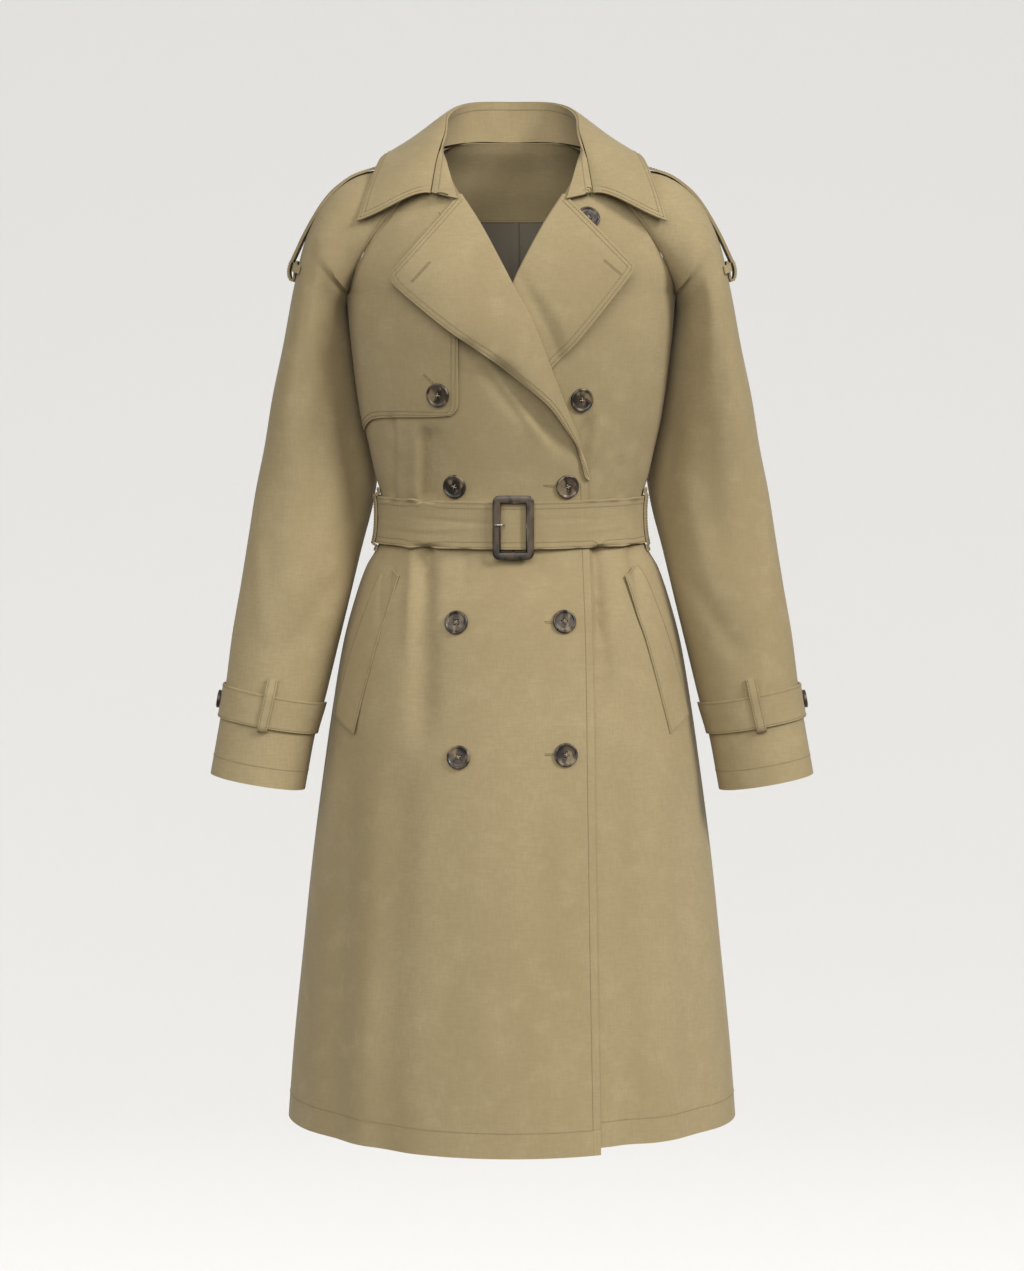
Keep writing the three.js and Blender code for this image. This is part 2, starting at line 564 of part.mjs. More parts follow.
// Slanted pocket welts: angle from the middle of the front and height of the four corners
const WELT = [
  { s: 0, frontAngle: 48, frontZ: -435, backAngle: 61.5, backZ: -423 },
  { s: 0.5, frontAngle: 52.5, frontZ: -520, backAngle: 68, backZ: -506 },
  { s: 1, frontAngle: 58, frontZ: -606, backAngle: 76, backZ: -589 },
];
const WELT_CLOTH = 2.6;
const WELT_ROWS = 8;
const WELT_COLUMNS = 3;
function weltPoint(u, s) {
  const g = (column) => along(WELT, "s", column, s);
  const z = mix(g("frontZ"), g("backZ"), u);
  const angle = (mix(g("frontAngle"), g("backAngle"), u) * Math.PI) / 180;
  return onRightFront(half(z) * Math.sin(angle), z, LAY_GAP + WELT_CLOTH);
}
const weltLeft = gridOf(steps(WELT_ROWS), WELT_COLUMNS, (u, s) => weltPoint(1 - u, s));
add("pocket_welt_left", "gabardine", sheet(weltLeft, WELT_CLOTH));
add("pocket_welt_right", "gabardine", sheet(mirrored(weltLeft), WELT_CLOTH));

// Belt: one strap that starts under the buckle, goes round the waist and through the buckle over itself.
// turn is the angle in degrees from the middle of the front towards the wearer's right.
const BELT_TOP = -352.3;
const BELT_BOTTOM = -403;
const BELT_DIP = 2;
const BELT_OUT = LAY_GAP + FOLDED_CLOTH;
const BELT_SECOND_OUT = BELT_OUT + LAY_GAP + FOLDED_CLOTH;
const BELT_START = 3;
const BELT_END = 462;
const BELT_COLUMNS = 52;
function waistPoint(turn, z, out) {
  const full = ((turn % 360) + 360) % 360;
  const angle = (full * Math.PI) / 180;
  if (full <= 90) return bodyPoint(-1, -angle, z, out);
  if (full >= 270) return bodyPoint(-1, 2 * Math.PI - angle, z, out);
  return bodyPoint(1, angle - Math.PI, z, out);
}
// Turns over which the belt climbs on to its own start, and over which it rises to pass the buckle's bar
const CLIMB = { from: 325, to: 350 };
const OVER_BAR = { turn: 360, flat: 2, gone: 7, rise: 1.4 };
function beltOut(turn) {
  const overBar = OVER_BAR.rise * (1 - smooth(OVER_BAR.flat, OVER_BAR.gone, Math.abs(turn - OVER_BAR.turn)));
  return mix(BELT_OUT, BELT_SECOND_OUT, smooth(CLIMB.from, CLIMB.to, turn)) + overBar;
}
const beltDip = (turn) => BELT_DIP * Math.max(0, Math.cos((turn * Math.PI) / 180)) ** 2;
add("belt", "gabardine", sheet(
  gridOf([BELT_TOP, BELT_BOTTOM], BELT_COLUMNS, (u, z) => {
    const turn = mix(BELT_START, BELT_END, u);
    return waistPoint(turn, z - beltDip(turn), beltOut(turn));
  }),
  FOLDED_CLOTH,
));

// Belt loops at the side seams: narrow bands standing over the belt
const LOOP_HALF_WIDTH = 5.5;
const LOOP_TURN = 83;
const LOOP_CLOTH = 2;
const LOOP_REACH = 9;
const LOOP_BEND = 4;
const LOOP_BEND_RISE = 0.4;
const LOOP_PAST_BELT = 1;
const LOOP_OUT = 1 + LOOP_CLOTH;
const LOOP_SPREAD = 1.35;
function beltLoopGrid(turn, beltFace) {
  const over = beltFace + LAY_GAP + LOOP_CLOTH;
  const profile = [
    { z: BELT_TOP + LOOP_REACH, out: LOOP_OUT },
    { z: BELT_TOP + LOOP_BEND, out: LOOP_OUT + LOOP_BEND_RISE },
    { z: BELT_TOP + LOOP_PAST_BELT, out: over },
    { z: BELT_BOTTOM - LOOP_PAST_BELT, out: over },
    { z: BELT_BOTTOM - LOOP_BEND, out: LOOP_OUT + LOOP_BEND_RISE },
    { z: BELT_BOTTOM - LOOP_REACH, out: LOOP_OUT },
  ];
  const reach = (LOOP_HALF_WIDTH / half(BELT_TOP)) * (180 / Math.PI) * LOOP_SPREAD;
  return profile.map((r) => [-reach, 0, reach].map((d) => waistPoint(turn + d, r.z, r.out)));
}
add("belt_loop_right", "gabardine", sheet(beltLoopGrid(LOOP_TURN, BELT_SECOND_OUT), LOOP_CLOTH));
add("belt_loop_left", "gabardine", sheet(beltLoopGrid(360 - LOOP_TURN, BELT_OUT), LOOP_CLOTH));

// Buckle: rectangular frame with its middle bar behind the belt's end
const BUCKLE = {
  x: 1.4,
  z: -381.6,
  width: 44.2,
  height: 68.5,
  side: 9,
  ends: 8.6,
  thick: 4,
  corner: 6,
  windowCorner: 2,
  bevel: 0.8,
};
const BUCKLE_TILT = Math.atan2(frontDepth(BELT_BOTTOM) - frontDepth(BELT_TOP), BELT_TOP - BELT_BOTTOM);
const BUCKLE_OUT = BELT_SECOND_OUT + 2.2;
const BAR_SINK = 2;
const BAR = { radius: 1.2, sides: 8, out: 3.6, upper: 29.8, lower: -27.6 };

function roundedRectangle(path, width, height, corner) {
  const w = width / 2;
  const h = height / 2;
  path.moveTo(-w + corner, -h);
  path.lineTo(w - corner, -h);
  path.quadraticCurveTo(w, -h, w, -h + corner);
  path.lineTo(w, h - corner);
  path.quadraticCurveTo(w, h, w - corner, h);
  path.lineTo(-w + corner, h);
  path.quadraticCurveTo(-w, h, -w, h - corner);
  path.lineTo(-w, -h + corner);
  path.quadraticCurveTo(-w, -h, -w + corner, -h);
  return path;
}

function solidOf(geometry) {
  const plain = geometry.clone();
  plain.deleteAttribute("normal");
  plain.deleteAttribute("uv");
  const merged = mergeVertices(plain, 1e-4);
  return new wasm.Manifold(new wasm.Mesh({
    numProp: 3,
    vertProperties: new Float32Array(merged.attributes.position.array),
    triVerts: new Uint32Array(merged.index.array),
  }));
}

function geometryOf(solid) {
  const mesh = solid.getMesh();
  const geometry = new THREE.BufferGeometry();
  geometry.setAttribute("position", new THREE.Float32BufferAttribute(Array.from(mesh.vertProperties), 3));
  geometry.setIndex(Array.from(mesh.triVerts));
  return geometry;
}

// The buckle is drawn flat with its front towards +Z, then turned to face forwards
const frameShape = roundedRectangle(new THREE.Shape(), BUCKLE.width, BUCKLE.height, BUCKLE.corner);
const windowWidth = BUCKLE.width - 2 * BUCKLE.side;
const windowHeight = BUCKLE.height - 2 * BUCKLE.ends;
frameShape.holes.push(roundedRectangle(new THREE.Path(), windowWidth, windowHeight, BUCKLE.windowCorner));
const frameGeometry = new THREE.ExtrudeGeometry(frameShape, {
  depth: BUCKLE.thick - 2 * BUCKLE.bevel,
  bevelThickness: BUCKLE.bevel,
  bevelSize: BUCKLE.bevel,
  bevelOffset: -BUCKLE.bevel,
  bevelSegments: 1,
  curveSegments: 3,
});
frameGeometry.translate(0, 0, BUCKLE.bevel);
const barDepth = BUCKLE_OUT - BAR.out;
const barLength = BAR.upper - BAR.lower + 2 * BAR.radius;
const barGeometry = new THREE.CylinderGeometry(BAR.radius, BAR.radius, barLength, BAR.sides);
barGeometry.translate(0, (BAR.upper + BAR.lower) / 2, -barDepth);
let buckleSolid = solidOf(frameGeometry).add(solidOf(barGeometry));
for (const end of [BAR.upper, BAR.lower]) {
  const leg = new THREE.CylinderGeometry(BAR.radius, BAR.radius, barDepth + BAR_SINK, BAR.sides);
  leg.rotateX(Math.PI / 2);
  leg.translate(0, end, (BAR_SINK - barDepth) / 2);
  buckleSolid = buckleSolid.add(solidOf(leg));
}
const buckleGroup = new THREE.Group();
buckleGroup.position.set(BUCKLE.x, -frontDepth(BUCKLE.z) - BUCKLE_OUT, BUCKLE.z);
buckleGroup.rotation.x = Math.PI / 2 - BUCKLE_TILT;
coat.add(buckleGroup);
buckleGroup.add(add("buckle", "horn", geometryOf(buckleSolid)));

// Prong: round wire out of the belt on to the left bar of the frame
const PRONG = { radius: 1.1, tip: -20.5, bend: -13.5, root: -9.5, rootHeight: 1.8, up: 3, clearance: 0.4 };
const prongRest = BUCKLE.thick + PRONG.radius + PRONG.clearance;
const prongPath = new THREE.CatmullRomCurve3([
  new THREE.Vector3(PRONG.tip, PRONG.up, prongRest),
  new THREE.Vector3(PRONG.bend, PRONG.up, prongRest),
  new THREE.Vector3(PRONG.root, PRONG.up, PRONG.rootHeight),
]);
const wireShape = (radius) => new THREE.Shape().absarc(0, 0, radius, 0, 2 * Math.PI);
buckleGroup.add(add("buckle_prong", "wire", new THREE.ExtrudeGeometry(wireShape(PRONG.radius), {
  steps: 6,
  curveSegments: 4,
  extrudePath: prongPath,
})));

// Epaulettes: the strap's outer face seen from the front, from its end by the collar out over the shoulder,
// folded under at its end; the width is measured from front to back
const EPAULETTE = [
  { t: 0, x: 122, z: 12.6, reach: 9 },
  { t: 1, x: 132, z: 9.8, reach: 16 },
  { t: 2, x: 150, z: 5.6, reach: 17.5 },
  { t: 3, x: 174, z: -2.5, reach: 18 },
  { t: 4, x: 192, z: -15, reach: 18.5 },
  { t: 5, x: 206, z: -29, reach: 19 },
  { t: 6, x: 219, z: -47, reach: 20 },
  { t: 7, x: 229, z: -66, reach: 20.5 },
  { t: 8, x: 236, z: -83, reach: 21 },
  { t: 9, x: 241.5, z: -97, reach: 21 },
  { t: 10, x: 244, z: -107, reach: 21 },
  { t: 11, x: 243, z: -115, reach: 21 },
  { t: 12, x: 239.5, z: -118.5, reach: 21 },
  { t: 13, x: 236.3, z: -115.5, reach: 21 },
  { t: 14, x: 235, z: -108, reach: 21 },
  { t: 15, x: 232.8, z: -97, reach: 21 },
];
const EPAULETTE_DROOP = 2.4;
const EPAULETTE_BACK_RISE = 1.2;
const EPAULETTE_COLUMNS = 4;
const EPAULETTE_BY_COLLAR = 4;
const EPAULETTE_FOLD = 9;
const FOLD_DROOP = 0.4;
const DROOP_ACROSS = 0.6;
const DROOP_DOWN = 0.8;
const epauletteLeft = EPAULETTE.map((r) => Array.from({ length: EPAULETTE_COLUMNS + 1 }, (_, i) => {
  const across = mix(1, -1, i / EPAULETTE_COLUMNS);
  const onShoulder = r.t < EPAULETTE_FOLD ? 1 : FOLD_DROOP;
  const byCollar = r.t < EPAULETTE_BY_COLLAR;
  const droop = byCollar ? -EPAULETTE_BACK_RISE * across : EPAULETTE_DROOP * onShoulder * across * across;
  return new THREE.Vector3(r.x - droop * DROOP_ACROSS, r.reach * across, r.z - droop * DROOP_DOWN);
}));
add("epaulette_left", "gabardine", sheet(epauletteLeft, FOLDED_CLOTH));
add("epaulette_right", "gabardine", sheet(mirrored(epauletteLeft), FOLDED_CLOTH));

// Keepers: a band on the sleeve over the end of the strap that is folded under
const KEEPER = { from: 6.46, to: 6.64, reach: 0.1, flatReach: 0.068, cloth: 1.4, over: 6.1, columns: 8 };
const keeperLeft = gridOf([KEEPER.from, KEEPER.to], KEEPER.columns, (u, v) => {
  const around = mix(KEEPER.reach, -KEEPER.reach, u);
  const atEnds = smooth(KEEPER.flatReach, KEEPER.reach, Math.abs(around));
  const out = mix(KEEPER.over, LAY_GAP + KEEPER.cloth, atEnds);
  return sleevePoint(0.5 + around, v, out);
});
add("keeper_left", "gabardine", sheet(keeperLeft, KEEPER.cloth));
add("keeper_right", "gabardine", sheet(mirrored(keeperLeft), KEEPER.cloth));

// Cuff straps: from the inner seam round the front to the outer side, with a rounded end, held by a loop
// and a button
const CUFF = {
  top: 15, bottom: 15.94, start: 0.01, end: 0.64, columns: 20, tab: 0.035, tabFrom: 0.8, rows: 2,
};
const CUFF_OUT = 0.9 + FOLDED_CLOTH;
const cuffLeft = gridOf(steps(CUFF.rows), CUFF.columns, (u, w) => {
  const round = CUFF.tab * (1 - 4 * w * (1 - w)) * smooth(CUFF.tabFrom, 1, 1 - u);
  return sleevePoint(mix(CUFF.end - round, CUFF.start, u), mix(CUFF.top, CUFF.bottom, w), CUFF_OUT);
});
add("cuff_strap_left", "gabardine", sheet(cuffLeft, FOLDED_CLOTH));
add("cuff_strap_right", "gabardine", sheet(mirrored(cuffLeft), FOLDED_CLOTH));
const CUFF_LOOP = { at: 0.258, reach: 0.016, past: 0.05, above: 0.36, below: 0.1 };
const cuffLoopProfile = [
  { v: CUFF.top - CUFF_LOOP.above, out: LAY_GAP + LOOP_CLOTH },
  { v: CUFF.top - CUFF_LOOP.past, out: CUFF_OUT + LAY_GAP + LOOP_CLOTH },
  { v: CUFF.bottom + CUFF_LOOP.past, out: CUFF_OUT + LAY_GAP + LOOP_CLOTH },
  { v: CUFF.bottom + CUFF_LOOP.below, out: LAY_GAP + LOOP_CLOTH },
];
const cuffLoopLeft = cuffLoopProfile.map((r) => [1, 0, -1].map((side) => (
  sleevePoint(CUFF_LOOP.at + side * CUFF_LOOP.reach, r.v, r.out)
)));
add("cuff_loop_left", "gabardine", sheet(cuffLoopLeft, LOOP_CLOTH));
add("cuff_loop_right", "gabardine", sheet(mirrored(cuffLoopLeft), LOOP_CLOTH));

// Buttons: turned discs with a raised rim and four holes
const BUTTON = {
  radius: 12.7,
  small: 10,
  sides: 16,
  holeRadius: 1.15,
  holeAt: 2.7,
  holeSides: 5,
  holeLength: 8,
  lift: 0.3,
};
const BUTTON_PROFILE = [
  { share: 0, z: 0 },
  { share: 0.93, z: 0 },
  { share: 1, z: 1.3 },
  { share: 0.96, z: 3.2 },
  { share: 0.84, z: 3.3 },
  { share: 0.74, z: 2.2 },
  { share: 0, z: 2.2 },
];
function buttonGeometry(radius) {
  const profile = BUTTON_PROFILE.map((p) => new THREE.Vector2(p.share * radius, p.z));
  let solid = solidOf(new THREE.LatheGeometry(profile, BUTTON.sides).rotateX(Math.PI / 2));
  for (const quarter of [0.25, 0.75, 1.25, 1.75]) {
    const angle = quarter * Math.PI;
    const { holeRadius, holeLength, holeSides } = BUTTON;
    const hole = new THREE.CylinderGeometry(holeRadius, holeRadius, holeLength, holeSides);
    hole.rotateX(Math.PI / 2);
    hole.translate(BUTTON.holeAt * Math.cos(angle), BUTTON.holeAt * Math.sin(angle), 0);
    solid = solid.subtract(solidOf(hole));
  }
  return geometryOf(solid);
}

// Puts a button on a surface given by the distances across and up from its place, clear of it by a distance
function addButton(name, radius, surface, out) {
  const mesh = add(name, "horn", buttonGeometry(radius));
  const across = surface(1, 0).sub(surface(-1, 0));
  const up = surface(0, 1).sub(surface(0, -1));
  const normal = across.cross(up).normalize();
  mesh.position.copy(surface(0, 0)).addScaledVector(normal, out);
  mesh.quaternion.setFromUnitVectors(new THREE.Vector3(0, 0, 1), normal);
}
const FRONT_BUTTONS = [
  { name: "button_waist_right", x: -61, z: -338.5 },
  { name: "button_waist_left", x: 59, z: -338.5 },
  { name: "button_hip_right", x: -59, z: -482 },
  { name: "button_hip_left", x: 55.5, z: -481 },
  { name: "button_skirt_right", x: -56.5, z: -623.5 },
  { name: "button_skirt_left", x: 57, z: -621 },
];
const LEFT_FRONT_BUTTONS = [
  { name: "button_chest_left", x: 76, z: -246 },
  { name: "button_collar_left", x: 81, z: -53 },
];
const FLAP_BUTTON = { x: -77.6, z: -240.7 };
for (const b of FRONT_BUTTONS) {
  addButton(b.name, BUTTON.radius, (dx, dz) => onRightFront(b.x + dx, b.z + dz, 0), BUTTON.lift);
}
for (const b of LEFT_FRONT_BUTTONS) {
  addButton(b.name, BUTTON.radius, (dx, dz) => onLeftFront(b.x + dx, b.z + dz, 0), BUTTON.lift);
}
addButton("button_flap", BUTTON.radius,
  (dx, dz) => onRightFront(FLAP_BUTTON.x + dx, FLAP_BUTTON.z + dz, FLAP_OUT), BUTTON.lift);

// Small buttons on the outer side of the cuff straps and by the collar on the epaulettes
const CUFF_BUTTON = { at: 15.47, aroundStep: 0.004, downStep: 0.02 };
const EPAULETTE_BUTTON = { x: 136.5, z: 8.6, slope: -0.25, backSlope: 0.065, radius: 9 };
for (const { word, side } of [{ word: "left", side: 1 }, { word: "right", side: -1 }]) {
  addButton(`button_cuff_${word}`, BUTTON.small, (across, up) => {
    const around = 0.5 + side * across * CUFF_BUTTON.aroundStep;
    const p = sleevePoint(around, CUFF_BUTTON.at - up * CUFF_BUTTON.downStep, CUFF_OUT);
    return new THREE.Vector3(side * p.x, p.y, p.z);
  }, BUTTON.lift);
  addButton(`button_epaulette_${word}`, EPAULETTE_BUTTON.radius, (across, up) => new THREE.Vector3(
    side * EPAULETTE_BUTTON.x + across,
    up,
    EPAULETTE_BUTTON.z + side * across * EPAULETTE_BUTTON.slope + up * EPAULETTE_BUTTON.backSlope,
  ), BUTTON.lift);
}

// Wire hook on the right end of the collar stand and its eye on the left end
const WIRE_RADIUS = 0.7;
const HOOK_PATH = [
  [-68, -76.6, -28], [-75, -75.4, -26], [-81, -73.4, -27], [-80, -73.4, -31], [-74, -75.4, -30.5],
];
const EYE_PATH = [[80, -74.2, -20], [84, -72.2, -21], [84, -72.2, -25], [79, -74.6, -26]];
function addWire(name, points) {
  add(name, "wire", new THREE.ExtrudeGeometry(wireShape(WIRE_RADIUS), {
    steps: 12,
    curveSegments: 3,
    extrudePath: new THREE.CatmullRomCurve3(points.map((p) => new THREE.Vector3(...p))),
  }));
}
addWire("collar_hook", HOOK_PATH);
addWire("collar_eye", EYE_PATH);

export default coat;
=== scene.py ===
# Double-breasted trench coat of khaki gabardine with raglan sleeves, in its worn form without a wearer.
# Metres, +Z up, front towards -Y, the wearer's right towards -X. Tables of sizes are in millimetres.
import math

import bpy
import numpy as np
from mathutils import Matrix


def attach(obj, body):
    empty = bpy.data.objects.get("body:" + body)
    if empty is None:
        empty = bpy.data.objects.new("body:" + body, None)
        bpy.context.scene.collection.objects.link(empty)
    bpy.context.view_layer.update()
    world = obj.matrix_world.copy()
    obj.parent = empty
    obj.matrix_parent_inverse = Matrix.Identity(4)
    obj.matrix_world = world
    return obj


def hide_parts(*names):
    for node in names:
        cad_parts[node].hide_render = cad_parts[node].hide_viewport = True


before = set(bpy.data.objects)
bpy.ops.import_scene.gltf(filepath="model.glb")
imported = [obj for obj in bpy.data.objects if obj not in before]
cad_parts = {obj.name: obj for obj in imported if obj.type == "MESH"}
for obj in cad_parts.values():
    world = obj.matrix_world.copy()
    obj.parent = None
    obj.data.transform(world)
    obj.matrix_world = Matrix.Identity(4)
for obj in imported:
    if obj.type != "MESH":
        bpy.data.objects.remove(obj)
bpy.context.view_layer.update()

# The coat's form: the body that the cloth is cut for, from the side of the neck to the hem.
# Each row is a level section, an ellipse in front and another behind, as a tailor's form has them.
MM = 0.001
NECK_BACK_Z, NECK_FRONT_Z, UNDERARM_Z, HEM_Z = 33, 2, -134, -1047
ABOVE_BELT, BELOW_BELT = -350, -404
CLOTH = 1.6
# height, half width, depth in front, depth behind
BODY = np.array([
    (33, 82, 44, 78), (18, 114, 50, 85), (2, 140, 57, 92), (-20, 165, 69, 98), (-43, 176, 80, 105),
    (-67, 182, 92, 110), (-88, 184, 102, 113), (-110, 184, 111, 116), (-134, 179, 118, 118),
    (-176, 175, 124, 118), (-221, 170, 122, 113), (-266, 163.5, 116, 107), (-300, 156, 110, 102),
    (-328, 150, 105, 98), (-350, 144, 103, 96), (-378, 142.5, 103, 96), (-406, 146.5, 105, 99),
    (-430, 160, 112.5, 107.5), (-467, 173, 126, 121), (-512, 185, 136, 131), (-578, 196.5, 146, 141),
    (-660, 208.5, 156, 150), (-756, 221, 166, 159), (-860, 232, 175, 166), (-958, 242, 183, 172),
    (HEM_Z, 249, 189, 176),
])
# Folds: side (-1 front, 1 back), x and z of the upper end, x and z of the lower end, width, height;
# a trough has a height below 0
FOLDS = np.array([
    (-1, -88, -270, -88, -350, 13, -5), (-1, -88, -404, -100, -640, 15, -7),
    (-1, 102, -404, 100, -600, 13, -5), (-1, -178, -560, -196, HEM_Z, 22, -6),
    (-1, -118, -600, -140, HEM_Z, 22, -5), (-1, 112, -600, 128, HEM_Z, 20, -6),
    (-1, 185, -620, 205, HEM_Z, 22, -5), (1, 0, -404, 0, HEM_Z, 24, -7),
    (1, -70, -404, -105, HEM_Z, 22, -7), (1, 74, -404, 100, HEM_Z, 22, -7),
    (1, -130, -500, -185, HEM_Z, 22, -6), (1, 134, -500, 182, HEM_Z, 22, -6),
    (1, -60, -200, -50, -350, 16, -5), (1, 62, -190, 50, -350, 16, -5),
])
# Smaller creases, in the same columns: gathers above and below the belt, and pulls from the lapels and the
# shoulders
CREASES = np.array([
    (-1, -56, -176, 25, -284, 9, -4.5), (-1, -22, -196, 66, -316, 11, -6.5),
    (-1, -42, -186, 46, -306, 7, 3.5), (-1, 88, -262, 72, -318, 7, -4), (-1, 100, -262, 86, -325, 8, 2.2),
    (-1, -129, -256, -130, -350, 4, -3.6), (-1, -120, -262, -121, -350, 5, 2.2),
    (-1, -92, -272, -94, -350, 3.5, -5), (-1, -92, -404, -96, -450, 4, -4),
    (-1, -82, -404, -84, -520, 7, 2.4), (-1, -106, -404, -112, -540, 7, 2.8),
    (-1, 93, -404, 98, -520, 5, -5), (-1, 104, -404, 112, -560, 7, 3),
    (-1, -104, -268, -104, -350, 7, 2.6), (-1, 132, -404, 142, -500, 5, -3),
    (-1, -100, -285, -101, -350, 5, 1.8), (-1, -76, -300, -78, -350, 4, 1.5),
    (-1, -120, -300, -118, -350, 6, -1.6), (-1, 84, -245, 75, -335, 6, -1.8),
    (-1, 90, -285, 84, -350, 5, 1.4), (-1, 108, -300, 107, -350, 6, 1.4),
    (-1, 120, -305, 119, -350, 5, -1.5), (-1, 134, -290, 130, -350, 6, 1.4),
    (-1, -50, -404, -52, -455, 5, -1.6), (-1, -74, -404, -78, -520, 8, 1.6),
    (-1, -104, -404, -112, -500, 6, 1.5), (-1, 116, -404, 120, -520, 7, 1.8),
    (-1, 130, -404, 138, -470, 6, -1.8), (-1, -126, -404, -134, -455, 5, -1.4),
    (-1, 28, -404, 28, -440, 5, -1.2), (-1, 70, -404, 66, -450, 5, -1.2),
    (-1, -20, -404, -20, -445, 6, -1.0), (1, -32, -404, -36, -500, 7, -2), (1, 36, -404, 40, -490, 7, -2),
    (1, -100, -404, -112, -480, 6, -2), (1, 106, -404, 116, -500, 6, -2),
    (1, -28, -290, -26, -350, 6, -2), (1, 24, -280, 22, -350, 6, -2), (1, -92, -280, -84, -350, 7, -2),
    (1, 94, -270, 86, -350, 7, -2), (1, -140, -60, -110, -190, 16, -2.5),
    (1, 140, -60, 112, -180, 16, -2.5),
])
FOLD_END = 0.18
FOLD_END_AT_BELT = 0.02


def through(keys, values, at):
    """Smooth curve through a table: cubic pieces, each row's slope being that between its two neighbours."""
    keys, values = np.asarray(keys, float), np.asarray(values, float)
    if keys[0] > keys[-1]:
        keys, values = keys[::-1], values[::-1]
    i = np.clip(np.searchsorted(keys, at, side="right") - 1, 0, len(keys) - 2)
    before = np.maximum(np.arange(len(keys)) - 1, 0)
    after = np.minimum(np.arange(len(keys)) + 1, len(keys) - 1)
    slope = (values[after] - values[before]) / (keys[after] - keys[before])
    span, rise = keys[i + 1] - keys[i], values[i + 1] - values[i]
    t = np.clip((at - keys[i]) / span, 0, 1)
    bend_before, bend_after = slope[i] * span - rise, rise - slope[i + 1] * span
    return values[i] + t * rise + t * (1 - t) * (bend_before * (1 - t) + bend_after * t)


def ramp(low, high, at):
    """0 below low, 1 above high, and 3t^2 - 2t^3 of the share t between them."""
    t = np.clip((at - low) / (high - low), 0, 1)
    return t * t * (3 - 2 * t)


def half_width(z):
    """Half width of the body's section at a height."""
    return through(BODY[:, 0], BODY[:, 1], z)


def fold_height(side, x, z):
    """Sum of the folds: each a bell across its line that grows from its upper end and fades at its lower one.

    One that runs into the belt keeps its height up to it and stops under it.
    """
    height = np.zeros(np.broadcast(x, z).shape)
    for fold_side, x0, z0, x1, z1, width, depth in np.vstack([FOLDS, CREASES]):
        if fold_side == side:
            t = (z - z0) / (z1 - z0)
            middle = x0 + (x1 - x0) * np.clip(t, 0, 1)
            into_belt = z1 == ABOVE_BELT
            start = ramp(-FOLD_END_AT_BELT, 0, t) if z0 == BELOW_BELT else ramp(0, FOLD_END, t)
            end = 1 if z1 <= HEM_Z or into_belt else 1 - ramp(1 - FOLD_END * 2, 1, t)
            under_belt = ramp(ABOVE_BELT - 3, ABOVE_BELT - 7, z) * into_belt
            share = start * end * (1 - under_belt)
            height = height + depth * share * np.exp(-(((x - middle) / width) ** 2))
    return height


def body_point(side, angle, z, out):
    """Ellipse of the section at z, at an angle from its middle, moved out along the ellipse's normal."""
    angle, z = np.broadcast_arrays(angle, z)
    a = half_width(z)
    b = through(BODY[:, 0], BODY[:, 2 if side < 0 else 3], z)
    normal = np.stack([np.sin(angle) / a, side * np.cos(angle) / b], -1)
    normal /= np.linalg.norm(normal, axis=-1, keepdims=True)
    x = a * np.sin(angle)
    lift = out + fold_height(side, x, z)
    return np.stack([x + lift * normal[..., 0], side * b * np.cos(angle) + lift * normal[..., 1], z], -1)


def angle_at(x, z):
    """Angle from the middle of a section at which the body is x wide."""
    return np.arcsin(np.clip(x / half_width(z), -1, 1))


def on_body(side, x, z, out):
    """Point of the front or back at x and z, moved out."""
    return body_point(side, angle_at(x, z), z, out)


# Gabardine: a close cotton twill with a dry, matt face, and the satin that lines the coat. One finish for
# each piece, because the topstitching presses a groove at its own distance from that piece's edges, and
# the shade in that groove is painted into the colour.
KHAKI = (0.400, 0.318, 0.174)
KHAKI_DEEP = (0.350, 0.274, 0.145)
KHAKI_PALE = (0.460, 0.372, 0.214)
KHAKI_SHADE = (0.290, 0.222, 0.115)
LINING = (0.175, 0.150, 0.108)
LINING_PALE = (0.235, 0.205, 0.155)
TWILL_PITCH, SATIN_PITCH = 0.0007, 0.0004
SLOW_SCALE, CLOUD_SCALE, WARP_SCALE, WEFT_SCALE, IRONED_SCALE = 7.0, 38.0, 520.0, 560.0, 12.0
# The groove's colour and its share paint shade into each stitched groove.
TWILL_DARKENS, SLUB_DARKENS, CLOUD_PALES, GROOVE_PAINTED_SHADE_SHARE = 0.10, 0.26, 0.35, 0.24
GROOVE_PAINTED_SHADE_COLOUR, GROOVE_WIDTH, GROOVE_DEPTH = (0.20, 0.155, 0.08), 0.0005, 0.3
WEAVE_RELIEF, SATIN_RELIEF = 0.0006, 0.0005


class Value:
    """A socket of a finish. Arithmetic on it adds Math nodes."""

    def __init__(self, finish, socket):
        self.finish, self.socket = finish, socket

    def math(self, operation, *others):
        """Math node of this value and others, in that order."""
        inputs = dict(enumerate([self, *others]))
        return self.finish.node("ShaderNodeMath", {"operation": operation}, inputs)

    def __add__(self, other):
        return self.math("ADD", other)

    def __sub__(self, other):
        return self.math("SUBTRACT", other)

    def __mul__(self, other):
        return self.math("MULTIPLY", other)

    def __truediv__(self, other):
        return self.math("DIVIDE", other)

    def __neg__(self):
        return self.math("MULTIPLY", -1.0)

    def __rsub__(self, other):
        return (-self).math("ADD", other)

    __radd__ = __add__
    __rmul__ = __mul__

    def sine(self):
        """Sine of the value."""
        return self.math("SINE")

    def bell(self, middle, width):
        """exp(-((value - middle) / width)^2)."""
        away = (self - middle) / width
        return (-(away * away)).math("EXPONENT")

    def step(self, low, high):
        """0 below low and 1 above high."""
        settings = {"interpolation_type": "SMOOTHSTEP"}
        inputs = {"Value": self, "From Min": low, "From Max": high}
        return self.finish.node("ShaderNodeMapRange", settings, inputs)


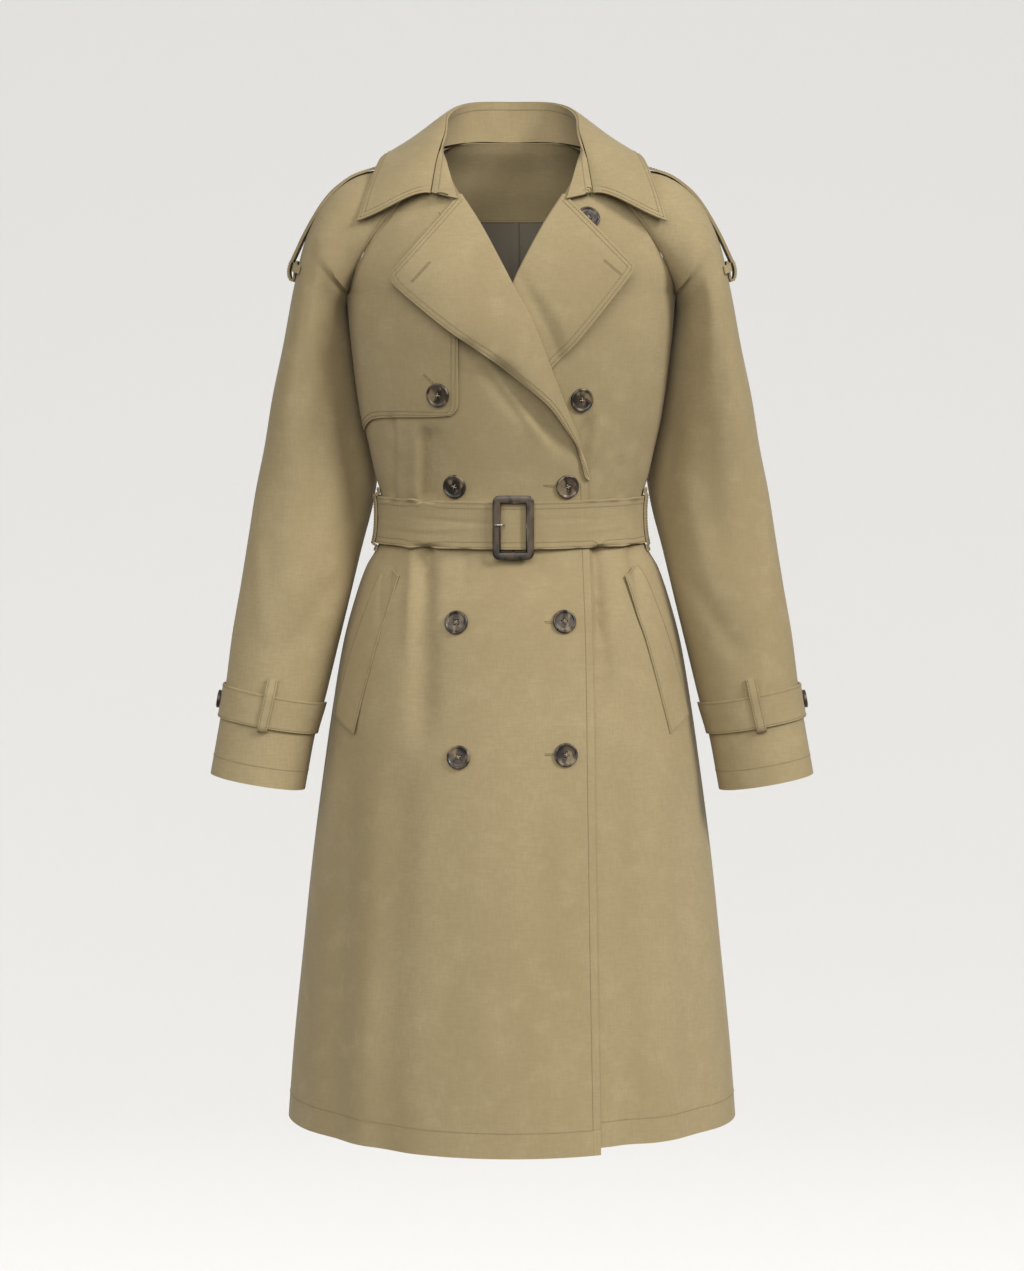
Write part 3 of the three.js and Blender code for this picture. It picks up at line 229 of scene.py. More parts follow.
class Finish:
    """Node material of one surface: node() adds a node, and the shader's sockets are set or fed by name."""

    def __init__(self, name):
        self.material = bpy.data.materials.new(name)
        self.material.use_nodes = True
        self.tree = self.material.node_tree
        self.shader = self.tree.nodes["Principled BSDF"]

    def put(self, target, value):
        """Sets a socket, or links it where the value is one."""
        if isinstance(value, Value):
            self.tree.links.new(value.socket, target)
        else:
            target.default_value = (*value, 1) if target.type == "RGBA" else value

    def node(self, kind, settings, inputs, output=0):
        """New node of a kind with its settings and inputs; gives the wanted output as a Value."""
        made = self.tree.nodes.new(kind)
        for name, setting in settings.items():
            setattr(made, name, setting)
        for name, value in inputs.items():
            self.put(made.inputs[name], value)
        return Value(self, made.outputs[output])

    def shade(self, **sockets):
        """Sets or feeds the shader's sockets; an underscore stands for a space."""
        for name, value in sockets.items():
            self.put(self.shader.inputs[name.replace("_", " ")], value)
        return self.material

    def mix(self, factor, first, second):
        """Blend of two colours."""
        made = self.tree.nodes.new("ShaderNodeMix")
        made.data_type = "RGBA"
        for target, value in zip((made.inputs[0], made.inputs[6], made.inputs[7]), (factor, first, second)):
            self.put(target, value)
        return Value(self, made.outputs[2])

    def axes(self, layer):
        """The two distances that a measuring layer of the cloth holds."""
        place = self.node("ShaderNodeUVMap", {"uv_map": layer}, {})
        return tuple(self.node("ShaderNodeSeparateXYZ", {}, {0: place}, k) for k in (0, 1))

    def noise(self, place, scale, detail=2.0):
        """Even noise around a half."""
        inputs = {"Vector": place, "Scale": scale, "Detail": detail}
        return self.node("ShaderNodeTexNoise", {}, inputs)

    def relief(self, height, distance, strength=1.0):
        """Bump of a height, in metres at distance."""
        inputs = {"Height": height, "Distance": distance, "Strength": strength}
        return self.node("ShaderNodeBump", {}, inputs)

    def place(self, stretch=(1, 1, 1)):
        """Object coordinates, stretched."""
        where = self.node("ShaderNodeTexCoord", {}, {}, 3)
        return self.node("ShaderNodeVectorMath", {"operation": "MULTIPLY"}, {0: where, 1: stretch})


def gabardine(name, near=(), far=(), lined=None):
    """Twill lines on the bias of the cloth, a slow change of tone, and a groove along each row of stitches,
    whose darkening is painted shade.

    near and far list the grooves as (axis, distance): axis 0 across and 1 down, measured from the first or
    the last edge. lined gives, for an inside, the layer, axis and distance at which the lining starts.
    """
    finish = Finish(name)
    across, down = finish.axes("from_first")
    across_far, down_far = finish.axes("from_last")
    turn = 2 * math.pi / TWILL_PITCH
    twill = (across * (turn * 0.80) + down * (turn * 0.60)).sine()
    weft = (across * (turn * -0.52) + down * (turn * 0.85)).sine()
    slow = finish.noise(finish.place((1, 1, 0.35)), SLOW_SCALE)
    cloudy = finish.noise(finish.place(), CLOUD_SCALE, 4.0)
    warp_slub = finish.noise(finish.place((1, 1, 0.14)), WARP_SCALE, 1.0)
    weft_slub = finish.noise(finish.place((0.16, 0.16, 1)), WEFT_SCALE, 1.0)
    slub = (warp_slub + weft_slub) * 0.5
    colour = finish.mix(slow.step(0.32, 0.68), KHAKI_DEEP, KHAKI)
    colour = finish.mix(cloudy.step(0.45, 0.75) * CLOUD_PALES, colour, KHAKI_PALE)
    weave_shade = (twill * 0.5 + 0.5) * TWILL_DARKENS + slub.step(0.38, 0.62) * SLUB_DARKENS
    colour = finish.mix(weave_shade, colour, KHAKI_SHADE)
    height = twill * 0.035 + weft * 0.02 + slub * 0.25
    groove_and_painted_shade = None
    for (axes, rows) in (((across, down), near), ((across_far, down_far), far)):
        for axis, distance in rows:
            groove = axes[axis].bell(distance * MM, GROOVE_WIDTH)
            groove_and_painted_shade = groove if groove_and_painted_shade is None else groove_and_painted_shade + groove
    if groove_and_painted_shade is not None:
        height = height - groove_and_painted_shade * GROOVE_DEPTH
        # Painted shade: the colour is darkened along each stitched groove, where the groove's own shadow falls.
        colour = finish.mix(groove_and_painted_shade * GROOVE_PAINTED_SHADE_SHARE, colour, GROOVE_PAINTED_SHADE_COLOUR)
    roughness = 0.80 + twill * 0.03 + cloudy * 0.10
    if lined:
        layer, axis, distance = lined
        satin = finish.axes(layer)[axis].step(distance * MM, (distance + 1) * MM)
        colour = finish.mix(satin, colour, finish.mix(slow.step(0.3, 0.7), LINING, LINING_PALE))
        roughness = roughness - satin * 0.35
    return finish.shade(
        Base_Color=colour,
        Roughness=roughness,
        Normal=finish.relief(height, WEAVE_RELIEF, 0.6),
        Sheen_Weight=0.12,
        Sheen_Roughness=0.45,
        Specular_IOR_Level=0.3,
    )


def lining_finish(name):
    """Satin: a thin warp-faced weave with a soft gloss, slightly crossed by its own ironing creases."""
    finish = Finish(name)
    across = finish.axes("from_first")[0]
    warp = (across * (2 * math.pi / SATIN_PITCH)).sine()
    slow = finish.noise(finish.place((1, 1, 0.3)), IRONED_SCALE)
    colour = finish.mix(slow.step(0.3, 0.7), LINING, LINING_PALE)
    height = warp * 0.05 + slow * 0.8
    return finish.shade(
        Base_Color=colour,
        Roughness=0.48 + slow * 0.1,
        Normal=finish.relief(height, SATIN_RELIEF, 0.5),
        Sheen_Weight=0.2,
        Sheen_Roughness=0.35,
    )


def facing_out(points):
    """Normals of a grid: the cross product of the steps along its rows and down its columns."""
    along_row = np.gradient(points, axis=1)
    down_column = np.gradient(points, axis=0)
    normal = np.cross(along_row, down_column)
    return normal / np.maximum(np.linalg.norm(normal, axis=-1, keepdims=True), 1e-9)


def lengths(points, axis):
    """Distance walked along one axis of a grid, from its first edge."""
    step = np.linalg.norm(np.diff(points, axis=axis), axis=-1)
    start = np.zeros_like(np.take(step, [0], axis=axis))
    return np.concatenate([start, np.cumsum(step, axis=axis)], axis=axis)


def cells(number):
    """The four corners of each cell of a grid of vertex numbers, turning the same way."""
    return np.stack([number[:-1, :-1], number[:-1, 1:], number[1:, 1:], number[1:, :-1]], -1).reshape(-1, 4)


def cloth_piece(name, points, wall, finishes, nodes, closed_from=None, rounding=0.45):
    """Sheet of cloth from a grid of points on its outer face, in millimetres.

    Each cell of the grid is a face. Two measuring layers hold the distances from the first and last edges.
    Solidify gives the wall, inwards, and Bevel rounds the cut edges. Rows from closed_from on are tubes.
    """
    rows, cols = points.shape[:2]
    number = np.arange(rows * cols).reshape(rows, cols)
    if closed_from is not None:
        number[closed_from:, -1] = number[closed_from:, 0]
    used, faces = np.unique(cells(number), return_inverse=True)
    own = cells(np.arange(rows * cols).reshape(rows, cols)).ravel()
    mesh = bpy.data.meshes.new(name)
    mesh.from_pydata(points.reshape(-1, 3)[used] * MM, [], faces.reshape(-1, 4).tolist())
    across, down = lengths(points, 1) * MM, lengths(points, 0) * MM
    layers = {"from_first": (across, down), "from_last": (across[:, -1:] - across, down[-1:] - down)}
    for layer, pair in layers.items():
        flat = np.stack(pair, -1).reshape(-1, 2)[own]
        mesh.uv_layers.new(name=layer).data.foreach_set("uv", flat.ravel())
    mesh.polygons.foreach_set("use_smooth", np.ones(len(mesh.polygons), bool))
    piece = bpy.data.objects.new(name, mesh)
    bpy.context.collection.objects.link(piece)
    for finish in finishes:
        mesh.materials.append(finish)
    solidify = piece.modifiers.new("wall", "SOLIDIFY")
    solidify.thickness, solidify.offset = wall * MM, -1
    solidify.use_quality_normals = True
    solidify.material_offset = len(finishes) - 1
    if rounding:
        bevel = piece.modifiers.new("cut edges", "BEVEL")
        bevel.width, bevel.segments = rounding * MM, 2
        bevel.limit_method, bevel.angle_limit = "ANGLE", math.radians(55)
        bevel.harden_normals = True
    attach(piece, "root")
    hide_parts(*nodes)
    return piece


# Topstitching: a thread of the cloth's own colour in small even stitches, each sinking into the cloth at
# its ends.
# THREAD_LIT is painted highlight: a paler copy of the thread's colour for the glints along its twist.
THREAD, THREAD_LIT = (0.30, 0.236, 0.130), (0.34, 0.270, 0.150)
STITCH_PITCH = 3.1
STITCH_LENGTH = 2.5
THREAD_RADIUS = 0.24
EDGE_STITCH = 2.2
TWO_ROWS = (3.0, 7.8)


def thread_finish(name, colour, painted_lit_colour):
    """Twisted thread: its own colour and a paler painted highlight, which alternate at random along it."""
    finish = Finish(name)
    spots_and_highlight = finish.noise(finish.place(), 900.0, 1.0)
    return finish.shade(
        Base_Color=finish.mix(spots_and_highlight.step(0.4, 0.6), colour, painted_lit_colour),
        Roughness=0.75 + spots_and_highlight * 0.1,
        Normal=finish.relief(spots_and_highlight, 0.0002, 0.4),
        Sheen_Weight=0.1,
    )


topstitch_thread = thread_finish("topstitch_thread", THREAD, THREAD_LIT)


def inset(points, edge, distance):
    """Line on a grid at a distance from one edge, walked along the lines that cross it, with its normals."""
    turned = points.swapaxes(0, 1)
    lines = {"top": points, "bottom": points[::-1], "left": turned, "right": turned[::-1]}[edge]
    normals = {"top": 1, "bottom": -1, "left": -1, "right": 1}[edge] * facing_out(lines)
    walked = lengths(lines, 0)
    k = np.clip((walked < distance).sum(axis=0) - 1, 0, len(lines) - 2)
    j = np.arange(lines.shape[1])
    t = ((distance - walked[k, j]) / np.maximum(walked[k + 1, j] - walked[k, j], 1e-9))[:, None]
    t = np.clip(t, 0, 1)
    return lines[k, j] * (1 - t) + lines[k + 1, j] * t, normals[k, j]


def stitches_on(line, trim, clear=0.12, pitch=STITCH_PITCH, length=STITCH_LENGTH, radius=THREAD_RADIUS):
    """Stitches along a line, each a spindle: pointed tips, and four-sided rings at 15 % and 85 % of its length."""
    points, normals = line
    walked = np.concatenate([[0], np.cumsum(np.linalg.norm(np.diff(points, axis=0), axis=1))])
    count = max(1, int((walked[-1] - trim[0] - trim[1]) / pitch))
    start = trim[0] + (np.arange(count) + 0.5) * (walked[-1] - trim[0] - trim[1]) / count
    shares = np.array([-0.5, -0.35, 0.35, 0.5])
    at = start[:, None] + shares * length
    place = np.stack([np.interp(at, walked, points[:, k]) for k in range(3)], -1)
    normal = np.stack([np.interp(at, walked, normals[:, k]) for k in range(3)], -1)
    normal /= np.linalg.norm(normal, axis=-1, keepdims=True)
    tangent = place[:, 3:4] - place[:, 0:1]
    tangent = tangent / np.maximum(np.linalg.norm(tangent, axis=-1, keepdims=True), 1e-9)
    side = np.cross(tangent, normal)
    lift = np.array([-0.35, 1, 1, -0.35])[:, None] * radius + clear
    centre = place + normal * lift
    turn = np.arange(4) * math.pi / 2
    ring = side[:, 1:3, None] * np.cos(turn)[:, None] + normal[:, 1:3, None] * np.sin(turn)[:, None]
    rings = centre[:, 1:3, None] + ring * radius
    vertices = np.concatenate([centre[:, :1], rings.reshape(count, 8, 3), centre[:, 3:4]], axis=1)
    k = np.arange(4)
    n = (k + 1) % 4
    quads = np.stack([1 + k, 1 + n, 5 + n, 5 + k], -1)
    caps = np.concatenate([np.stack([0 * k, 1 + n, 1 + k], -1), np.stack([9 + 0 * k, 5 + k, 5 + n], -1)])
    return vertices, quads, caps


def sew(name, lines, finish=topstitch_thread, **size):
    """One piece of thread from many lines of stitches, each (points and normals, trims at its two ends)."""
    vertices, faces, base = [], [], 0
    for line, trim in lines:
        made, quads, caps = stitches_on(line, trim, **size)
        starts = base + np.arange(len(made))[:, None, None] * made.shape[1]
        vertices.append(made.reshape(-1, 3))
        faces += (starts + quads).reshape(-1, 4).tolist() + (starts + caps).reshape(-1, 3).tolist()
        base += made.shape[0] * made.shape[1]
    mesh = bpy.data.meshes.new(name)
    mesh.from_pydata(np.concatenate(vertices) * MM, [], faces)
    mesh.polygons.foreach_set("use_smooth", np.ones(len(mesh.polygons), bool))
    mesh.materials.append(finish)
    piece = bpy.data.objects.new(name, mesh)
    bpy.context.collection.objects.link(piece)
    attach(piece, "root")
    return piece


# Fronts: two panels of gabardine that lap over each other, the wearer's right one on top, with the front
# edge and the hem turned in and stitched down. Each runs out to the side seam, and above the underarm to
# the raglan seam.
SEAM_GAP = 0.5
# height, distance of the free edge from the middle of the coat
FRONT_EDGE = np.array([
    (2, -71), (-20, -60), (-43, -46), (-67, -31), (-110, -8), (-134, 4), (-176, 25), (-221, 42),
    (-266, 61), (-300, 73), (-328, 80), (-350, 81.5), (-430, 84), (-512, 86.5), (-660, 88.5),
    (-860, 91.5), (HEM_Z, 95),
])
# height, distance of the raglan seam in front from the middle
FRONT_SEAM = np.array([
    (2, 71), (-20, 107), (-43, 127), (-67, 146), (-88, 159), (-110, 170), (UNDERARM_Z, 179),
])
# height, how far the front underneath lies inside the one on top
UNDERLAP = np.array([
    (33, 0), (-60, 0), (-100, 3.4), (-125, 5.9), (-266, 5.9), (-340, 4.4), (-600, 4.2), (HEM_Z, 3.2),
])
UNDERLAP_FULL_TO, UNDERLAP_GONE_AT = 95, 160
HEM_RISE, HEM_RISE_FROM = 8, 900
FRONT_EDGE_STITCH, HEM_STITCH, TURNED_IN, LAPEL_END_Z = 8.5, 27, 95, -330
FRONT_COLUMNS, ROW_SPACING = 88, 6


def heights(rows, spacing):
    """Heights from the first to the last of a list of rows, through every row, at most spacing apart."""
    parts = []
    for high, low in zip(rows[:-1], rows[1:]):
        count = max(1, math.ceil((high - low) / spacing))
        parts.append(np.linspace(high, low, count + 1)[:-1])
    return np.concatenate([*parts, [rows[-1]]])


def hemmed(angle, z, full):
    """Heights near the hem, raised by sin^2 of the angle, or evenly where the panel is underneath."""
    share = 1 if full else np.sin(angle) ** 2
    return z + HEM_RISE * share * ramp(HEM_RISE_FROM, -HEM_Z, -z)


def front_outer_angle(z):
    """Angle of the side seam, or of the raglan seam above the underarm."""
    at_raglan = angle_at(through(FRONT_SEAM[:, 0], FRONT_SEAM[:, 1], z) - SEAM_GAP, z)
    return np.where(z <= UNDERARM_Z, math.pi / 2 - SEAM_GAP / half_width(z), at_raglan)


def underlap_depth(x, z):
    """Depth of the front underneath, fading towards its side seam."""
    return through(UNDERLAP[:, 0], UNDERLAP[:, 1], z) * (1 - ramp(UNDERLAP_FULL_TO, UNDERLAP_GONE_AT, x))


def front_grid(is_under):
    """Ellipse angles shared out evenly from the free edge to the side, at each height."""
    z = heights([NECK_FRONT_Z, UNDERARM_Z, ABOVE_BELT, BELOW_BELT, HEM_Z], ROW_SPACING)[:, None]
    u = np.linspace(0, 1, FRONT_COLUMNS + 1)
    free = angle_at(through(FRONT_EDGE[:, 0], FRONT_EDGE[:, 1], z), z)
    angle = free + (-front_outer_angle(z) - free) * u
    height = hemmed(angle, z, is_under)
    if not is_under:
        return body_point(-1, angle, height, 0)
    depth = underlap_depth(-half_width(z) * np.sin(angle), z)
    return body_point(-1, -angle, height, -depth)[:, ::-1]


front_right_points = front_grid(False)
front_left_points = front_grid(True)
front_right = cloth_piece(
    "cloth_front_right", front_right_points, CLOTH,
    [gabardine("front_right_face", near=[(0, FRONT_EDGE_STITCH)], far=[(1, HEM_STITCH)]),
     gabardine("front_right_inside", lined=("from_first", 0, TURNED_IN))],
    ["front_right"],
)
front_left = cloth_piece(
    "cloth_front_left", front_left_points, CLOTH,
    [gabardine("front_left_face", far=[(0, FRONT_EDGE_STITCH), (1, HEM_STITCH)]),
     gabardine("front_left_inside", lined=("from_last", 0, TURNED_IN))],
    ["front_left"],
)
below_lapel = front_right_points[front_right_points[:, 0, 2] < LAPEL_END_Z]
sew("thread_fronts", [
    (inset(below_lapel, "left", FRONT_EDGE_STITCH), (2, HEM_STITCH)),
    (inset(front_right_points, "bottom", HEM_STITCH), (FRONT_EDGE_STITCH, 2)),
    (inset(front_left_points, "bottom", HEM_STITCH), (2, FRONT_EDGE_STITCH)),
])


# Back: one panel between the raglan seams and the side seams. Inside it a facing of gabardine is sewn below
# the neck, and under that hangs the lining, with an ease pleat down its middle.
BACK_COLUMNS, UNDERARM_HALF_WIDTH = 112, 179
BACK_SEAM = np.array([(33, 62), (18, 86), (2, 108), (-20, 128), (-52, 149), (-88, 165), (UNDERARM_Z, 179)])
LINING_CLOTH = 1.1
SKIN_DEPTH = 2.8
FACING_DEPTH = 3.3
FACING_BOTTOM, LINING_BOTTOM = -52, -958
FACING_TURNS_AT, FACING_RISE, FACING_TOP_DEPTH = 22, 1.6, 1.7
FACING_SHARE, FACING_SPACING, FACING_STITCH = 0.95, 4, 2
LINING_SPACING, LINING_COLUMNS = 9, 88
PLEAT_HALF, PLEAT_STEP, PLEAT_EDGE, PLEAT_AT = 5.5, 2.4, 0.6, 2


def back_outer_angle(z):
    """Angle of the side seam, or of the raglan seam behind above the underarm."""
    at_raglan = angle_at(through(BACK_SEAM[:, 0], BACK_SEAM[:, 1], z) - SEAM_GAP, z)
    return np.where(z <= UNDERARM_Z, math.pi / 2 - SEAM_GAP / half_width(z), at_raglan)


def back_grid(z, out, share=1.0, shares=np.linspace(-1, 1, BACK_COLUMNS + 1)):
    """Ellipse angles shared out evenly between the two side seams, at each height."""
    z = z[:, None]
    angle = shares * share * back_outer_angle(z)
    return body_point(1, angle, hemmed(angle, z, False), out)


back_points = back_grid(heights([NECK_BACK_Z, UNDERARM_Z, ABOVE_BELT, BELOW_BELT, HEM_Z], ROW_SPACING), 0)
back = cloth_piece(
    "cloth_back", back_points, CLOTH,
    [gabardine("back_face", far=[(1, HEM_STITCH)]), gabardine("back_inside")], ["back"],
)
sew("thread_back_hem", [(inset(back_points, "bottom", HEM_STITCH), (2, 2))])

facing_heights = heights([NECK_BACK_Z, FACING_BOTTOM], FACING_SPACING)
to_seam = ramp(FACING_TURNS_AT, NECK_BACK_Z, facing_heights)[:, None]
facing_out_by = (FACING_DEPTH - FACING_TOP_DEPTH) * to_seam - FACING_DEPTH
facing_points = back_grid(facing_heights, facing_out_by, FACING_SHARE)
facing_points[..., 2] += FACING_RISE * to_seam
facing = cloth_piece(
    "cloth_back_neck_facing", facing_points, LINING_CLOTH,
    [gabardine("back_facing_face", far=[(1, FACING_STITCH)])], ["back_neck_facing"],
)

pleat_edges = np.array([-1, 1]) * PLEAT_HALF / UNDERARM_HALF_WIDTH
pleat_shares = (pleat_edges[:, None] + np.linspace(-0.006, 0.006, 5)).ravel()
lining_shares = np.unique(np.concatenate([np.linspace(-1, 1, LINING_COLUMNS + 1), pleat_shares]))
lining_heights = heights([FACING_BOTTOM - SEAM_GAP, UNDERARM_Z, LINING_BOTTOM], LINING_SPACING)
lining_points = back_grid(lining_heights, -SKIN_DEPTH, 1.0, lining_shares)
from_pleat = np.abs(lining_points[..., 0] - PLEAT_AT)
inside_pleat = ramp(PLEAT_HALF - PLEAT_EDGE, PLEAT_HALF + PLEAT_EDGE, from_pleat) - 1
lining_points[..., 1] += PLEAT_STEP * inside_pleat
back_lining = cloth_piece(
    "cloth_back_lining", lining_points, LINING_CLOTH, [lining_finish("lining_satin")], ["back_lining"],
)


# Raglan sleeves: cut in two parts that run up to the collar, here set out as one tube that opens above the
# underarm along the raglan seams. The seams are stitched down on the sleeve's side and the hem is turned in.
#
# Columns: front seam x, z; back seam x, z; outer line x, y, z; inner line y; handles at front, back and cap;
# lean.
SLEEVE = np.array([
    (71, 2, 62, 33, 80, 6, 23, 0, 2, 2, 18, 0.3),
    (107, -20, 86, 18, 112, 5, 12, 0, 4, 4, 26, 0.3),
    (127, -43, 108, 2, 140, 3, 3, 0, 6, 6, 33, 0.3),
    (146, -67, 128, -20, 168, 2, -3.5, 0, 14, 8, 42, 0.25),
    (159, -88, 149, -52, 192, 0, -19.5, 0, 22, 14, 52, 0.2),
    (170, -110, 165, -88, 211, 0, -43, 0, 34, 28, 64, 0.15),
    (177.6, -134, 177.6, -134, 226, 0, -78, 0, 84, 84, 78, 0.05),
    (175, -160, 175, -160, 238, 0, -128, 30, 106, 76, 92, 0.2),
    (165, -205, 165, -205, 249.5, 0, -188, 42, 114, 66, 94, 0.26),
    (155, -255, 155, -255, 261.5, -1, -244, 47, 114, 56, 90, 0.28),
    (147, -305, 147, -305, 270.5, -2, -298, 44, 108, 52, 84, 0.26),
    (152, -357, 152, -357, 280.5, -4, -347, 26, 92, 56, 76, 0.12),
    (165.5, -412, 165.5, -412, 289, -7, -400, 6, 76, 66, 72, 0.03),
    (178, -465, 178, -465, 297.5, -10, -452, -8, 69, 69, 69, 0),
    (191, -518, 191, -518, 306.5, -13, -503, -12, 66, 66, 66, 0),
    (205.5, -577, 205.5, -577, 313.5, -17, -557, -17, 63, 63, 63, 0),
    (216, -614, 216, -614, 320, -19, -596, -19, 61, 61, 61, 0),
    (227, -673, 227, -673, 330.5, -23, -655, -23, 60, 60, 60, 0),
])
UNDERARM_ROW = 6
SLEEVE_LENGTH_ROWS, SLEEVE_COLUMNS = 8, 72
SLEEVE_HEM_STITCH, SLEEVE_TURNED_IN, RAGLAN_STITCH = 21, 30, 4.5
ROUND_STEP, DOWN_STEP = 0.01, 0.05
# share round, station; share round, station of the other end; width as a share round, height
SLEEVE_FOLDS = np.array([
    (0.24, 5.6, 0.14, 9.4, 0.05, -2.6), (0.34, 5.4, 0.26, 9.8, 0.05, -2.2),
    (0.20, 8.6, 0.24, 12.5, 0.05, -3.0), (0.12, 8.6, 0.08, 12.6, 0.04, -3.0),
    (0.34, 9.5, 0.36, 13.8, 0.05, -1.8), (0.10, 12.2, 0.26, 14.6, 0.035, -2.4),
    (0.76, 5.4, 0.90, 8.8, 0.05, -2.6), (0.66, 8.0, 0.60, 12.0, 0.05, -2.4),
    (0.86, 9.0, 0.90, 13.0, 0.04, -3.0), (0.90, 12.0, 0.76, 14.6, 0.035, -2.6),
    (0.42, 11.6, 0.30, 14.2, 0.03, 1.6), (0.16, 10.4, 0.20, 13.0, 0.03, 1.5),
])


def bezier(points, t):
    """Cubic curve of four handles, their weights the Bernstein polynomials of t."""
    t = t[..., None]
    weights = ((1 - t) ** 3, 3 * (1 - t) ** 2 * t, 3 * (1 - t) * t * t, t ** 3)
    return sum(weight * point for weight, point in zip(weights, points))


def handle_depths(side):
    """Depth of the handle beside the seam at each row: the seam's own depth and its reach."""
    column = 0 if side < 0 else 2
    on_raglan = on_body(side, SLEEVE[:, column], SLEEVE[:, column + 1], 0)[:, 1]
    seam = np.where(np.arange(len(SLEEVE)) < UNDERARM_ROW, on_raglan, SLEEVE[:, 7])
    return seam + side * SLEEVE[:, 8 if side < 0 else 9]


def sleeve_form(u, v):
    """Left sleeve at station v: a cubic curve from the front seam to the outer line, and one from the back."""
    u, v = np.broadcast_arrays(np.asarray(u, float), np.asarray(v, float))
    stations = np.arange(len(SLEEVE))
    fx, fz, bx, bz, tx, ty, tz, iy, _, _, cap, lean = (through(stations, column, v) for column in SLEEVE.T)
    closed = (v >= UNDERARM_ROW)[..., None]
    in_front = u <= 0.5
    side = np.where(in_front, -1, 1)
    top = np.stack([tx, ty, tz], -1)
    open_seam = np.where(in_front[..., None], on_body(-1, fx, fz, 0), on_body(1, bx, bz, 0))
    seam = np.where(closed, np.stack([fx, iy, fz], -1), open_seam)
    near = seam + (top - seam) * lean[..., None]
    depths = [through(stations, handle_depths(end), v) for end in (-1, 1)]
    near[..., 1] = np.where(in_front, *depths)
    far = top.copy()
    far[..., 1] += side * cap
    return bezier((seam, near, far, top), np.where(in_front, u * 2, (1 - u) * 2))


def sleeve_fold(u, v):
    """Sum of bells across lines from one (share, station) to another, fading at both ends."""
    height = np.zeros(np.broadcast(u, v).shape)
    for u0, v0, u1, v1, width, depth in SLEEVE_FOLDS:
        t = (v - v0) / (v1 - v0)
        middle = u0 + (u1 - u0) * np.clip(t, 0, 1)
        ends = ramp(0, 0.3, t) * (1 - ramp(0.7, 1, t))
        height = height + depth * ends * np.exp(-(((u - middle) / width) ** 2))
    return height


def sleeve_point(u, v, out):
    """Form of the sleeve moved out along its normal by the folds and a distance."""
    u, v = np.broadcast_arrays(np.asarray(u, float), np.asarray(v, float))
    closed = v >= UNDERARM_ROW
    after = np.where(closed, (u + 1 + ROUND_STEP) % 1, np.clip(u + ROUND_STEP, 0, 1))
    before = np.where(closed, (u + 1 - ROUND_STEP) % 1, np.clip(u - ROUND_STEP, 0, 1))
    around = sleeve_form(after, v) - sleeve_form(before, v)
    down = sleeve_form(u, v + DOWN_STEP) - sleeve_form(u, v - DOWN_STEP)
    normal = np.cross(down, around)
    normal /= np.linalg.norm(normal, axis=-1, keepdims=True)
    return sleeve_form(u, v) + normal * (out + sleeve_fold(u, v))[..., None]


def mirrored(points):
    """The same grid on the wearer's right, its columns turned round so that it still faces out."""
    return points[:, ::-1] * np.array([-1, 1, 1])


def both_sides(points):
    """The left and right grids of a pair, with their names."""
    return (("left", points), ("right", mirrored(points)))


sleeve_rows = np.arange((len(SLEEVE) - 1) * SLEEVE_LENGTH_ROWS + 1)[:, None] / SLEEVE_LENGTH_ROWS
sleeve_points = sleeve_point(1 - np.linspace(0, 1, SLEEVE_COLUMNS + 1), sleeve_rows, 0)
raglan_rows = UNDERARM_ROW * SLEEVE_LENGTH_ROWS
for word, points in both_sides(sleeve_points):
    sleeve = cloth_piece(
        f"cloth_sleeve_{word}", points, CLOTH,
        [gabardine(f"sleeve_{word}_face", far=[(1, SLEEVE_HEM_STITCH)]),
         gabardine(f"sleeve_{word}_inside", lined=("from_last", 1, SLEEVE_TURNED_IN))],
        [f"sleeve_{word}"], closed_from=raglan_rows,
    )
    top_part = points[:raglan_rows + 1]
    sew(f"thread_sleeve_{word}", [
        (inset(points, "bottom", SLEEVE_HEM_STITCH), (0, 0)),
        (inset(top_part, "left", RAGLAN_STITCH), (6, 4)),
        (inset(top_part, "right", RAGLAN_STITCH), (6, 4)),
    ])


# Collar: a stand that rises from the neck seam and a fall turned over it, each of two layers stitched at
# the edge.
FOLDED_CLOTH = 2.2
# share from the middle of the back; neck seam; seam between stand and fall; outer edge; handles at the roll
# and edge
COLLAR = np.array([
    (0, 0, 79, 34.5, 0, 87, 80, 0, 104, 2, 0, 9, 5, 0, 2, 42),
    (0.25, 46, 66, 34.5, 47, 71, 78, 72, 89, 0, 5, 8, 3, 3, 3, 36),
    (0.5, 80, 10, 26, 69, 18, 64, 130, 40, 13, 9, 3, 0, -16, -6, 19),
    (0.7, 77, -27, 18, 72, -14, 42, 142, -8, 15.4, 12, -2, 2, -20, 0, 11),
    (0.85, 70, -52, 4, 79, -46, 15, 155, -44, -18, 16, -6, 4, -22, -6, 12),
    (1, 58, -76, -33, 86, -68, -26, 166, -66, -55, 20, -7, 4, -32, -9, 10),
])
STAND_BOW, STAND_SHARE, FALL_START = 1.5, 0.985, 0.9
COLLAR_COLUMNS, STAND_ROWS, FALL_ROWS, STAND_STITCH = 120, 12, 32, 8
mirror_signs = np.array([-1] + [-1, 1, 1] * 5)
COLLAR_ROWS = np.vstack([COLLAR[:0:-1] * mirror_signs, COLLAR])


def collar_vectors(s):
    """The five vectors of the collar at a share from -1, its right end, to 1, its left end."""
    columns = np.stack([through(COLLAR_ROWS[:, 0], column, s) for column in COLLAR_ROWS[:, 1:].T], -1)
    return [columns[..., k:k + 3] for k in range(0, 15, 3)]


